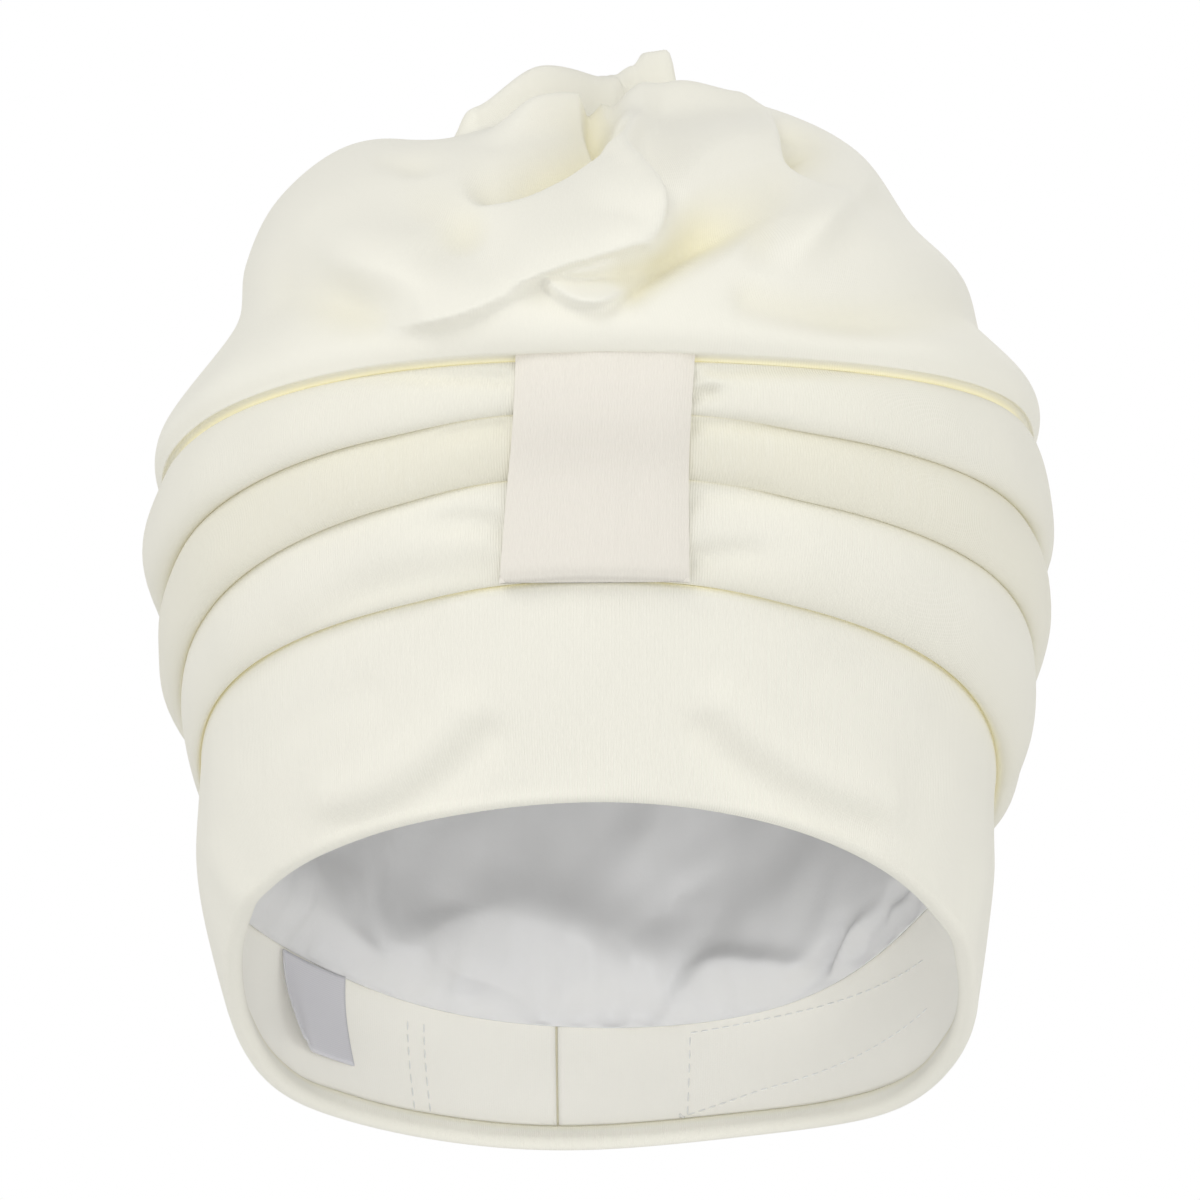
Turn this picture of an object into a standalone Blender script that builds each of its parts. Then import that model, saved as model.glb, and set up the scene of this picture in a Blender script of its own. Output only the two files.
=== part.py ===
"""Turban bathing cap: a stretch band, stacked folds under a centre tab, a draped crown and a waterproof lining cap.

Metres, +Z up as worn. The brow is at -Y. The origin is the middle of the head opening, whose plane is high at the
brow and low at the nape. Azimuth 0 is the brow, 90 degrees is +X and 180 degrees is the nape.
"""

from math import pi, radians
from typing import NamedTuple

import bmesh
import bpy
import numpy as np

MM = 0.001
GAP = 0.3
WALL = 1.4
COLUMNS = 54
FRONT_CROWDING = 0.22
SLOPE_STEP = 0.02
TWIST_MARGIN = 0.35


class Ring(NamedTuple):
    """One closed line round the cap, in mm.

    Half widths at -X and +X, ends along Y, heights at four sides, how much the corners are squared as a share of
    the width, and how far the line sags behind each ear.
    """

    name: str
    half_left: float
    half_right: float
    front: float
    back: float
    z_front: float
    z_left: float
    z_right: float
    z_back: float
    square: float
    sag_left: float
    sag_right: float


RINGS = (
    Ring("rim", 83.0, 83.5, -92.0, 92.0, 43.0, 2.0, -6.0, -44.5, 0.035, 4.6, 1.2),
    Ring("band", 89.0, 87.0, -98.0, 105.0, 65.0, 24.0, 18.0, -22.0, 0.035, 3.0, 0.8),
    Ring("seam", 88.5, 88.0, -103.0, 113.0, 89.6, 47.0, 44.5, 4.0, 0.035, 1.0, 0.5),
    Ring("crease_3", 92.0, 94.5, -105.8, 118.0, 111.0, 62.0, 70.5, 27.0, 0.035, 0.0, 0.0),
    Ring("crease_2", 94.5, 96.0, -110.2, 121.0, 124.0, 83.0, 91.0, 49.0, 0.03, 0.0, 0.0),
    Ring("crease_1", 95.5, 95.0, -111.0, 122.0, 134.6, 106.0, 115.5, 71.0, 0.02, 0.0, 0.0),
    Ring("roll_low", 97.5, 96.5, -115.0, 125.0, 136.6, 108.5, 118.5, 74.0, 0.01, 0.0, 0.0),
    Ring("roll", 97.5, 97.0, -117.0, 127.0, 142.0, 117.0, 126.0, 84.0, 0.0, 0.0, 0.0),
    Ring("waist", 81.5, 85.5, -114.0, 125.0, 151.0, 141.0, 139.5, 108.0, 0.0, 0.0, 0.0),
    Ring("dome_low", 78.5, 80.5, -108.0, 119.0, 160.0, 158.0, 154.5, 132.0, 0.0, 0.0, 0.0),
    Ring("dome_high", 71.3, 70.0, -97.0, 106.0, 169.5, 173.0, 166.0, 154.0, 0.0, 0.0, 0.0),
    Ring("shoulder", 58.0, 57.8, -81.0, 86.0, 178.0, 184.0, 183.5, 172.0, 0.0, 0.0, 0.0),
    Ring("top", 40.0, 40.0, -66.0, 52.0, 184.0, 187.5, 192.5, 186.0, 0.0, 0.0, 0.0),
    Ring("gather", 18.0, 19.0, -52.0, -4.0, 187.5, 189.0, 194.5, 192.0, 0.0, 0.0, 0.0),
    Ring("twist", 0.0, 0.0, -34.0, -34.0, 190.0, 190.0, 190.0, 190.0, 0.0, 0.0, 0.0),
)
LEVEL = {ring.name: index for index, ring in enumerate(RINGS)}
LAST_LEVEL = len(RINGS) - 1.0


class Roll(NamedTuple):
    """One stacked fold above a crease: how far it stands out at the brow, at each side and at the nape, in mm."""

    crease: str
    front: float
    left: float
    right: float
    back: float


ROLLS = (
    Roll("seam", 4.5, 3.0, 6.0, 4.0),
    Roll("crease_3", 4.0, 5.5, 5.0, 4.0),
    Roll("crease_2", 4.0, 6.5, 5.5, 4.0),
)
ROLL_STATIONS = (0.0, 0.1, 0.26, 0.5, 0.72, 0.9, 1.0)
ROLL_INSIDE_STATIONS = (0.0, 0.5)
ROLL_INSIDE_SHARE = 0.55
ROLL_DROOP = 3.0
ROLL_RECESS = 0.5
PINCH_HALF_ANGLE = 11.0
PINCH_FADE = 16.0
PINCHED_DEPTH = 1.8


class Fold(NamedTuple):
    """A ridge, or with a negative height a valley, drawn through three places on the crown, in mm.

    The places are seen from the front (X and Z) for a front fold and from above (X and Y) for a top fold. The
    widths lie to the left and to the right of the way from start to end. The shares say how much of the height is
    left at the start and at the end.
    """

    name: str
    start: tuple
    middle: tuple
    end: tuple
    height: float
    width_left: float
    width_right: float
    start_share: float = 1.0
    end_share: float = 1.0


FRONT_FOLDS = (
    Fold("main fold hem left", (-48.0, 141.2), (-27.0, 145.4), (-14.0, 151.8), 7.0, 13.0, 2.0, 0.0, 0.9),
    Fold("main fold hem", (-14.0, 151.8), (-4.0, 155.6), (7.6, 158.2), 8.5, 11.0, 1.4, 0.9, 1.0),
    Fold("main fold nose", (7.6, 158.2), (10.8, 163.5), (7.2, 172.5), 8.5, 10.0, 1.9, 1.0, 0.6),
    Fold("main fold neck", (7.2, 171.0), (5.0, 180.0), (9.5, 189.0), 5.5, 4.5, 2.4, 0.9, 0.4),
    Fold("left drape", (-60.0, 164.5), (-44.0, 154.5), (-22.0, 150.0), 6.0, 10.0, 7.0, 0.3, 0.6),
    Fold("right ridge", (16.5, 168.0), (21.0, 177.0), (36.0, 184.0), 3.0, 7.0, 4.0, 0.4, 0.8),
    Fold("right drape", (53.0, 174.0), (44.0, 164.5), (37.0, 154.0), 5.0, 5.0, 7.0, 0.5, 0.1),
    Fold("under the rib", (-23.0, 169.4), (-13.0, 172.3), (-0.8, 180.2), -7.5, 6.0, 1.5, 0.5, 1.0),
    Fold("twist mouth", (0.4, 191.5), (-2.6, 188.4), (0.8, 182.0), -7.5, 4.0, 1.2, 0.4, 1.0),
    Fold("right valley", (7.5, 150.4), (21.0, 159.2), (38.0, 167.5), -7.5, 7.0, 3.2, 0.8, 0.3),
    Fold("right wedge", (40.0, 187.5), (41.5, 181.0), (46.0, 175.0), -5.0, 6.0, 1.8, 0.7, 0.4),
    Fold("right base", (31.0, 146.5), (52.0, 143.5), (76.0, 146.0), -3.2, 4.5, 3.5, 0.7, 0.3),
    Fold("left base", (-66.0, 150.5), (-50.0, 146.0), (-38.0, 144.5), -3.2, 4.5, 5.0, 0.3, 0.4),
)
TOP_FOLDS = (
    Fold("left petal", (-28.0, -30.0), (-10.0, -25.0), (2.0, -22.0), 12.4, 4.2, 3.6, 0.34, 0.7),
    Fold("right petal", (0.5, -19.0), (8.0, -17.5), (13.6, -16.5), 13.6, 3.6, 3.0, 0.56, 1.0),
    Fold("rib", (-24.0, -70.0), (-12.0, -57.0), (-0.4, -46.0), 7.0, 7.0, 4.0, 0.0, 1.0),
    Fold("right crest", (1.5, -47.0), (14.0, -39.0), (30.0, -28.0), 5.0, 5.0, 4.5, 0.8, 0.5),
    Fold("left dip", (-33.0, -44.0), (-33.0, -20.0), (-38.0, 6.0), -3.8, 8.0, 8.0, 0.3, 0.5),
    Fold("crown back left", (-8.0, -8.0), (-24.0, 22.0), (-40.0, 60.0), -3.0, 8.0, 8.0),
    Fold("crown back middle", (4.0, -4.0), (6.0, 32.0), (2.0, 74.0), -3.0, 8.0, 8.0),
    Fold("crown back right", (12.0, -8.0), (32.0, 20.0), (46.0, 56.0), -3.0, 8.0, 8.0),
)
FOLD_BLEND = 5.0
FOLD_SOFTENING = 4.8
FORWARD_LIFT = 0.35
FLAT_FROM = 0.75
FLAT_FADE = 0.2
TWIST_LEVELS = (12.3, 12.6, 12.8, 13.0, 13.15, 13.3, 13.4, 13.5, 13.6, 13.7, 13.8, 13.9)
CROWN_LEVELS = (5.0, 6.0, 7.0, *np.arange(7.5, 12.0, 0.4), *TWIST_LEVELS)
CROWN_INSIDE_LEVELS = (5.0, 6.5, 8.0, 9.0, 10.0, 11.0, 12.0, 13.0, 13.5)
CROWN_INSIDE_HIGH = 0.0
CROWN_INSIDE_INSET = 3.0
FRONT_FOLDS_END_Y = -38.0
FOLD_FADE_Y = 16.0
TOP_FOLDS_START_Z = 150.0
TOP_FOLDS_FADE_Z = 24.0
FOLD_STEPS = 9

HEM_THICK = 4.6
HEM_HEIGHT = 6.5
HEM_ROUND_STEPS = 5
BAND_HEIGHT = 50.0
ROLL_HEIGHT = 12.5
HEM_STEP = 0.01

FACING_THICK = 1.2
FACING_LEVELS = (0.29, 0.64, 1.0, 1.36)
FACING_END_X = -10.0
FACING_END_GAP = 0.6

LINING_THICK = 1.0
LINING_HEM = 1.17
LINING_GATHERS = 9
LINING_GATHER_DEPTH = 1.4
LINING_LEVELS = (1.17, 1.45, 2.0, 3.2, 5.0, 7.5, 9.5, 11.2, 12.3)
LINING_FREE = 0.8
LINING_CALM_FROM = 4.0


class Inset(NamedTuple):
    """How far the lining's outer face lies inside the cap's outer face at one level, in mm."""

    level: float
    inset: float


LINING_INSETS = (
    Inset(LINING_HEM, 3.4),
    Inset(1.45, 3.5),
    Inset(2.0, 5.0),
    Inset(3.5, 7.0),
    Inset(5.5, 10.0),
    Inset(8.0, 15.0),
    Inset(9.5, 17.0),
    Inset(11.0, 20.0),
    Inset(12.3, 21.0),
)

TAB_HALF_TOP = 18.4
TAB_HALF_BOTTOM = 19.6
TAB_LEAN = 2.4
TAB_THICK = 2.2
TAB_ROWS = 12
TAB_ACROSS = 10
TAB_EDGE_DROP = 0.9
TAB_LOW = 0.02
TAB_HIGH = 0.975
TAB_BEND_RADIUS = 95.0

LABEL_AZIMUTH = -130.0
LABEL_WIDTH = 22.0
LABEL_HEIGHT = 20.0
LABEL_THICK = 1.0
LABEL_LIFT = 0.5
LABEL_TOP = 1.14
LABEL_ROWS = 4
LABEL_ACROSS = 5

RING_VALUES = np.array([ring[1:] for ring in RINGS])


class Look(NamedTuple):
    """A material: its name, colour, roughness and metallic value."""

    name: str
    colour: tuple
    roughness: float
    metallic: float


JERSEY = Look("cream_jersey", (0.87, 0.85, 0.75), 0.85, 0.0)
FACING = Look("facing_jersey", (0.76, 0.75, 0.70), 0.85, 0.0)
FILM = Look("lining_film", (0.82, 0.82, 0.82), 0.45, 0.0)
LABEL = Look("label_cloth", (0.88, 0.88, 0.88), 0.70, 0.0)


def smooth_table(values, level):
    """Values of a table's columns at a level between its rows, along a smooth curve through them."""
    level = np.clip(level, 0.0, len(values) - 1.0)
    low = np.clip(np.floor(level).astype(int), 0, len(values) - 2)
    share = (level - low)[..., None]
    before = values[np.maximum(low - 1, 0)]
    start = values[low]
    end = values[low + 1]
    after = values[np.minimum(low + 2, len(values) - 1)]
    slope_start = (end - before) / 2
    slope_end = (after - start) / 2
    cubed = share**3
    squared = share**2
    return (
        start * (2 * cubed - 3 * squared + 1)
        + slope_start * (cubed - 2 * squared + share)
        + end * (3 * squared - 2 * cubed)
        + slope_end * (cubed - squared)
    )


def ring_places(values, azimuth):
    """Places on closed lines with these ring values, at these azimuths."""
    left, right, front, back, z_front, z_left, z_right, z_back, square, sag_left, sag_right = np.moveaxis(
        values, -1, 0
    )
    sine = np.sin(azimuth)
    cosine = np.cos(azimuth)
    square = 1 + square * np.sin(2 * azimuth) ** 2
    half = (left + right) / 2 + (right - left) / 2 * sine
    z_side = (z_left + z_right) / 2 + (z_right - z_left) / 2 * sine
    z_mean = (z_front + z_back) / 2
    sag = ((sag_left + sag_right) / 2 + (sag_right - sag_left) / 2 * sine) * sine**2 * (1 - cosine) ** 2
    x = half * sine * square
    y = (front + back) / 2 - (back - front) / 2 * cosine * square
    z = (z_mean + z_side) / 2 + (z_front - z_back) / 2 * cosine + (z_mean - z_side) / 2 * np.cos(2 * azimuth)
    return np.stack([x, y, z - sag], axis=-1)


def body(level, azimuth):
    """The cap's smooth outer face, before its rolls and folds."""
    level, azimuth = np.broadcast_arrays(level, azimuth)
    return ring_places(smooth_table(RING_VALUES, level), azimuth)


def unit(vectors):
    return vectors / np.maximum(np.linalg.norm(vectors, axis=-1, keepdims=True), 1e-9)


def outward(level, azimuth):
    """The outward direction of the smooth outer face."""
    level = np.clip(level, SLOPE_STEP, LAST_LEVEL - TWIST_MARGIN)
    along = body(level, azimuth + SLOPE_STEP) - body(level, azimuth - SLOPE_STEP)
    up = body(level + SLOPE_STEP, azimuth) - body(level - SLOPE_STEP, azimuth)
    return unit(np.cross(along, up))


def upward(level, azimuth):
    """The direction up the smooth outer face."""
    level = np.clip(level, SLOPE_STEP, LAST_LEVEL - TWIST_MARGIN)
    return unit(body(level + SLOPE_STEP, azimuth) - body(level - SLOPE_STEP, azimuth))


def ease(value):
    """A smooth step from 0 to 1."""
    value = np.clip(value, 0.0, 1.0)
    return value * value * (3 - 2 * value)


def off_tab(azimuth):
    """0 under the centre tab, 1 well beside it."""
    turned = np.abs((azimuth + pi) % (2 * pi) - pi)
    return ease((np.degrees(turned) - PINCH_HALF_ANGLE) / PINCH_FADE)


def roll_depth(roll, azimuth):
    """How far a roll stands out at each azimuth."""
    sine = np.sin(azimuth)
    cosine = np.cos(azimuth)
    side = (roll.left + roll.right) / 2 + (roll.right - roll.left) / 2 * sine
    ends = (roll.front + roll.back) / 2 + (roll.front - roll.back) / 2 * cosine
    depth = side * sine**2 + ends * cosine**2
    return PINCHED_DEPTH + (depth - PINCHED_DEPTH) * off_tab(azimuth)


def roll_places(roll, station, azimuth, share=1.0, inset=0.0):
    """Places on a roll's section, from its crease at station 0 to the next crease at station 1."""
    turn = pi * (station - 0.5)
    rise = 0.5 + 0.5 * np.sin(turn)
    level = LEVEL[roll.crease] + rise
    stand = roll_depth(roll, azimuth) * np.cos(turn) * (1 - ROLL_RECESS * rise**2) * share
    droop = ROLL_DROOP * off_tab(azimuth) * share * np.cos(turn) * (1 - rise) ** 2
    out = outward(level, azimuth)
    return body(level, azimuth) + out * (stand - inset)[..., None] - upward(level, azimuth) * droop[..., None]


def fold_height(fold, across, up):
    """The height that a fold adds at places given in its own view."""
    start = np.array(fold.start)
    end = np.array(fold.end)
    control = 2 * np.array(fold.middle) - (start + end) / 2
    shares = np.linspace(0, 1, FOLD_STEPS)[:, None]
    way_points = (1 - shares) ** 2 * start + 2 * shares * (1 - shares) * control + shares**2 * end
    width_left = np.hypot(fold.width_left, FOLD_SOFTENING)
    width_right = np.hypot(fold.width_right, FOLD_SOFTENING)
    places = np.stack([across, up], axis=-1)
    best = np.full(across.shape, np.inf)
    for low, high in zip(way_points[:-1], way_points[1:]):
        run = high - low
        along = np.clip((places - low) @ run / (run @ run), 0, 1)
        apart = places - low - along[..., None] * run
        far = np.maximum(np.linalg.norm(apart, axis=-1), 1e-6)
        side = (run[0] * apart[..., 1] - run[1] * apart[..., 0]) / far / np.linalg.norm(run)
        width = (width_left + width_right) / 2 + (width_left - width_right) / 2 * side
        best = np.minimum(best, far / width)
    share = (places - start) @ (end - start) / ((end - start) @ (end - start))
    rise = fold.start_share + (1 - fold.start_share) * ease(2 * share)
    fall = fold.end_share + (1 - fold.end_share) * ease(2 - 2 * share)
    return fold.height * rise * fall * np.exp(-(best**2))


def fold_sum(folds, across, up):
    """All the folds together: ridges that meet run into each other without doubling, and so do valleys."""
    heights = [fold_height(fold, across, up) for fold in folds]
    ridges = sum(np.maximum(height, 0) ** FOLD_BLEND for height in heights)
    valleys = sum(np.maximum(-height, 0) ** FOLD_BLEND for height in heights)
    return ridges ** (1 / FOLD_BLEND) - valleys ** (1 / FOLD_BLEND)


def crown_face(level, azimuth, high=np.inf, inset=0.0):
    """The crown's folded face: front folds stand forward of the smooth face and top folds stand up from it."""
    places = body(level, azimuth)
    out = outward(level, azimuth)
    x, y, z = np.moveaxis(places, -1, 0)
    in_front = 1 - ease((y - FRONT_FOLDS_END_Y) / FOLD_FADE_Y)
    on_top = ease((z - TOP_FOLDS_START_Z) / TOP_FOLDS_FADE_Z)
    front = in_front * fold_sum(FRONT_FOLDS, x, z)
    top = on_top * fold_sum(TOP_FOLDS, x, y)
    forward = out.copy()
    forward[..., 2] *= FORWARD_LIFT + (1 - FORWARD_LIFT) * ease((out[..., 2] - FLAT_FROM) / FLAT_FADE)
    raised = places + np.minimum(top, high)[..., None] * np.array([0.0, 0.0, 1.0])
    return raised + unit(forward) * np.minimum(front, high)[..., None] - out * inset


def azimuths():
    """Azimuths round the cap, closer together at the brow, where the folds are fine."""
    even = np.linspace(-pi, pi, COLUMNS, endpoint=False)
    return even - FRONT_CROWDING * np.sin(even)


def grid_of(rows, columns):
    """Rows of levels and columns of azimuths as two arrays of one shape."""
    return np.meshgrid(np.array(rows, dtype=float), columns, indexing="ij")


def shade(look, target):
    """Gives an object its material."""
    material = bpy.data.materials.get(look.name) or bpy.data.materials.new(look.name)
    material.use_nodes = True
    shader = material.node_tree.nodes["Principled BSDF"]
    shader.inputs["Base Color"].default_value = (*look.colour, 1.0)
    shader.inputs["Roughness"].default_value = look.roughness
    shader.inputs["Metallic"].default_value = look.metallic
    target.data.materials.append(material)


def finish_object(name, mesh_maker, look):
    """Turns a filled bmesh into a smooth shaded object."""
    mesh_maker.normal_update()
    bmesh.ops.recalc_face_normals(mesh_maker, faces=mesh_maker.faces)
    mesh = bpy.data.meshes.new(name)
    mesh_maker.to_mesh(mesh)
    mesh_maker.free()
    mesh.shade_smooth()
    mesh.set_sharp_from_angle(angle=radians(60))
    result = bpy.data.objects.new(name, mesh)
    bpy.context.collection.objects.link(result)
    shade(look, result)
    return result


def wrap(name, places, look, around=True, through=True):
    """A closed body from rows of places: a grid bent round and welded where its edges meet."""
    rows, columns = places.shape[:2]
    across = columns if around else columns - 1
    along = rows if through else rows - 1
    mesh_maker = bmesh.new()
    bmesh.ops.create_grid(mesh_maker, x_segments=across, y_segments=along, size=1.0)
    for index, vertex in enumerate(mesh_maker.verts):
        row, column = divmod(index, across + 1)
        vertex.co = places[row % rows, column % columns] * MM
    bmesh.ops.remove_doubles(mesh_maker, verts=mesh_maker.verts, dist=1e-6)
    if not around:
        ends = [edge for edge in mesh_maker.edges if edge.is_boundary]
        bmesh.ops.holes_fill(mesh_maker, edges=ends, sides=0)
    return finish_object(name, mesh_maker, look)


def make_headband():
    """The band's wall, with a round turned hem at the rim that stands inwards."""
    azimuth = azimuths()
    hem_level = HEM_HEIGHT / BAND_HEIGHT * LEVEL["seam"]
    top = LEVEL["seam"] - GAP / 2 / BAND_HEIGHT * LEVEL["seam"]
    outside = grid_of((top, *reversed(FACING_LEVELS)), azimuth)
    rows = [body(*outside)]
    level, turned = grid_of((0.0,), azimuth)
    rim = body(level, turned)
    out = outward(level, turned)
    up = upward(level, turned)
    radius = HEM_THICK / 2
    for step in range(HEM_ROUND_STEPS + 1):
        angle = pi * step / HEM_ROUND_STEPS
        rows.append(rim + up * radius - out * radius * (1 - np.cos(angle)) - up * radius * np.sin(angle))
    level, turned = grid_of((hem_level,), azimuth)
    rows.append(body(level, turned) - outward(level, turned) * HEM_THICK)
    inside = grid_of((hem_level + HEM_STEP, *FACING_LEVELS[1:], top), azimuth)
    rows.append(body(*inside) - outward(*inside) * WALL)
    return wrap("headband", np.concatenate(rows), JERSEY)


def make_pleated_panel():
    """Three stacked rolls between the band's seam and the crown."""
    azimuth = azimuths()
    outside = []
    inside = []
    for roll in ROLLS:
        station, turned = grid_of(ROLL_STATIONS[:-1], azimuth)
        outside.append(roll_places(roll, station, turned))
        station, turned = grid_of(ROLL_INSIDE_STATIONS, azimuth)
        inside.append(roll_places(roll, station, turned, ROLL_INSIDE_SHARE, WALL))
    gap_share = GAP / 2 / ROLL_HEIGHT
    level, turned = grid_of((LEVEL["crease_1"] - gap_share,), azimuth)
    outside.append(body(level, turned))
    inside.append(body(level, turned) - outward(level, turned) * WALL)
    outside[0][0] += upward(LEVEL["seam"], azimuth) * GAP / 2
    inside[0][0] += upward(LEVEL["seam"], azimuth) * GAP / 2
    rows = np.concatenate([np.concatenate(outside), np.concatenate(inside)[::-1]])
    return wrap("pleated_panel", rows, JERSEY)


def make_crown():
    """The draped crown: its low roll hangs over the panel and its folds run to the twist."""
    azimuth = azimuths()
    outer = crown_face(*grid_of((*CROWN_LEVELS, LAST_LEVEL), azimuth))
    inside = grid_of((*CROWN_INSIDE_LEVELS, LAST_LEVEL), azimuth)
    inner = crown_face(*inside, high=CROWN_INSIDE_HIGH, inset=CROWN_INSIDE_INSET)
    inner[0] = outer[0] - outward(*inside)[0] * WALL
    outer[-1] = outer[-1].mean(axis=0)
    inner[-1] = inner[-1].mean(axis=0)
    return wrap("crown", np.concatenate([inner[::-1], outer]), JERSEY, through=False)


def make_inner_band():
    """The facing strip inside the band, whose ends butt at the nape."""
    end = pi + np.arcsin(-FACING_END_X / RINGS[LEVEL["rim"]].half_left)
    half_gap = FACING_END_GAP / 2 / RINGS[LEVEL["rim"]].half_left
    columns = np.linspace(end - 2 * pi + half_gap, end - half_gap, COLUMNS + 1)
    outside = grid_of(FACING_LEVELS, columns)
    outer = body(*outside) - outward(*outside) * (WALL + GAP)
    inner = body(*outside) - outward(*outside) * (WALL + GAP + FACING_THICK)
    return wrap("inner_band", np.concatenate([outer, inner[::-1]]), FACING, around=False)


def lining_face(level, azimuth, deeper):
    """The lining's face, this much deeper than its outer one."""
    levels = [row.level for row in LINING_INSETS]
    insets = [row.inset for row in LINING_INSETS]
    inset = np.interp(level, levels, insets)
    free = ease((level - LINING_HEM) / LINING_FREE)
    free = free * (1 - ease((level - LINING_CALM_FROM) / LINING_CALM_FROM))
    gathers = LINING_GATHER_DEPTH * free * (1 + np.cos(LINING_GATHERS * azimuth + level)) / 2
    return body(level, azimuth) - outward(level, azimuth) * (inset + gathers + deeper)[..., None]


def make_lining_cap():
    """The thin lining, sewn inside the facing's top edge and closed over the head."""
    azimuth = azimuths()
    outer = lining_face(*grid_of(LINING_LEVELS, azimuth), 0.0)
    inner = lining_face(*grid_of(LINING_LEVELS, azimuth), LINING_THICK)
    top = outer[-1].mean(axis=0)
    outer = np.concatenate([outer, np.broadcast_to(top, outer[:1].shape)])
    inner = np.concatenate([inner, np.broadcast_to(top - np.array([0, 0, LINING_THICK]), inner[:1].shape)])
    return wrap("lining_cap", np.concatenate([outer[::-1], inner]), FILM, through=False)


def tab_face(share, across, thick):
    """The tab's under face, or with a thickness its outer one."""
    level = LEVEL["seam"] + share * (LEVEL["crease_1"] - LEVEL["seam"])
    half = TAB_HALF_BOTTOM + (TAB_HALF_TOP - TAB_HALF_BOTTOM) * share
    x = TAB_LEAN * (share - 0.5) + half * across
    azimuth = np.arcsin(x / TAB_BEND_RADIUS)
    edge = TAB_EDGE_DROP * np.abs(across) ** 4
    stand = PINCHED_DEPTH + GAP + thick - np.where(thick > 0, edge, 0.0)
    places = body(level, azimuth) + outward(level, azimuth) * stand[..., None]
    places[..., 0] = x
    return places


def make_centre_tab():
    """The upright tab over the pinched rolls."""
    shares = np.linspace(TAB_LOW, TAB_HIGH, TAB_ROWS)
    share, across = np.meshgrid(shares, np.linspace(-1, 1, TAB_ACROSS), indexing="ij")
    under = tab_face(share, across, np.zeros(share.shape))
    over = tab_face(share, across, np.full(share.shape, TAB_THICK))
    loop = np.concatenate([under, over[:, ::-1]], axis=1)
    return wrap("centre_tab", loop.transpose(1, 0, 2), JERSEY, around=False)


def make_care_label():
    """The folded label that hangs over the facing just under the lining's hem, blank."""
    middle = radians(LABEL_AZIMUTH)
    half = LABEL_WIDTH / 2 / RINGS[LEVEL["band"]].half_left
    low = LABEL_TOP - LABEL_HEIGHT / BAND_HEIGHT * LEVEL["seam"]
    patch = grid_of(np.linspace(low, LABEL_TOP, LABEL_ROWS), np.linspace(middle - half, middle + half, LABEL_ACROSS))
    depth = WALL + 2 * GAP + FACING_THICK + LABEL_LIFT
    outer = body(*patch) - outward(*patch) * depth
    inner = body(*patch) - outward(*patch) * (depth + LABEL_THICK)
    return wrap("care_label", np.concatenate([outer, inner[::-1]]), LABEL, around=False)


def clear_scene():
    for item in list(bpy.data.objects):
        bpy.data.objects.remove(item)


clear_scene()
make_headband()
make_pleated_panel()
make_crown()
make_inner_band()
make_lining_cap()
make_centre_tab()
make_care_label()
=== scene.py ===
"""Dresses the turban cap in cloth: band, stacked folds, centre tab, twisted crown, facing, lining, label.

The rings and the rolls are those of the part's source, in mm. The folds here are finer than the solids'.
"""

from math import atan, cos, pi, radians, sin
from typing import NamedTuple

import bmesh
import bpy
import numpy as np
from mathutils import Matrix, Vector


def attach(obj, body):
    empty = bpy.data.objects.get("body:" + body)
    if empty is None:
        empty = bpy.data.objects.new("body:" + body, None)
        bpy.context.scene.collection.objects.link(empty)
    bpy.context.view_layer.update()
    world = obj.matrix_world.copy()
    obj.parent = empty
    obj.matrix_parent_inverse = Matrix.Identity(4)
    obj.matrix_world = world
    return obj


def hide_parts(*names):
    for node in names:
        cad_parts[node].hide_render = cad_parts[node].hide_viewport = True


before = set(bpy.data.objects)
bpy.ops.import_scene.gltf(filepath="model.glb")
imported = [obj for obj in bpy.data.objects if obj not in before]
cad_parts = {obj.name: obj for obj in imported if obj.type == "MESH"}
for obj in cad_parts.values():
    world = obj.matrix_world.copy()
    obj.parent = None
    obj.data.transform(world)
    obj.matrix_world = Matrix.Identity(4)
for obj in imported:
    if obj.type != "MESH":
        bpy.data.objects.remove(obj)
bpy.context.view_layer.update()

MM = 0.001
FACE_RADIUS = 95.0
ROLL_RADIUS = 100.0
INSIDE_RADIUS = 90.0
WALL = 1.4
GAP = 0.3


class Ring(NamedTuple):
    """One closed line round the cap, in mm.

    Half widths at -X and +X, ends along Y, heights at four sides, how much the corners are squared as a
    share of the width, and how far the line sags behind each ear.
    """

    name: str
    half_left: float
    half_right: float
    front: float
    back: float
    z_front: float
    z_left: float
    z_right: float
    z_back: float
    square: float
    sag_left: float
    sag_right: float


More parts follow.
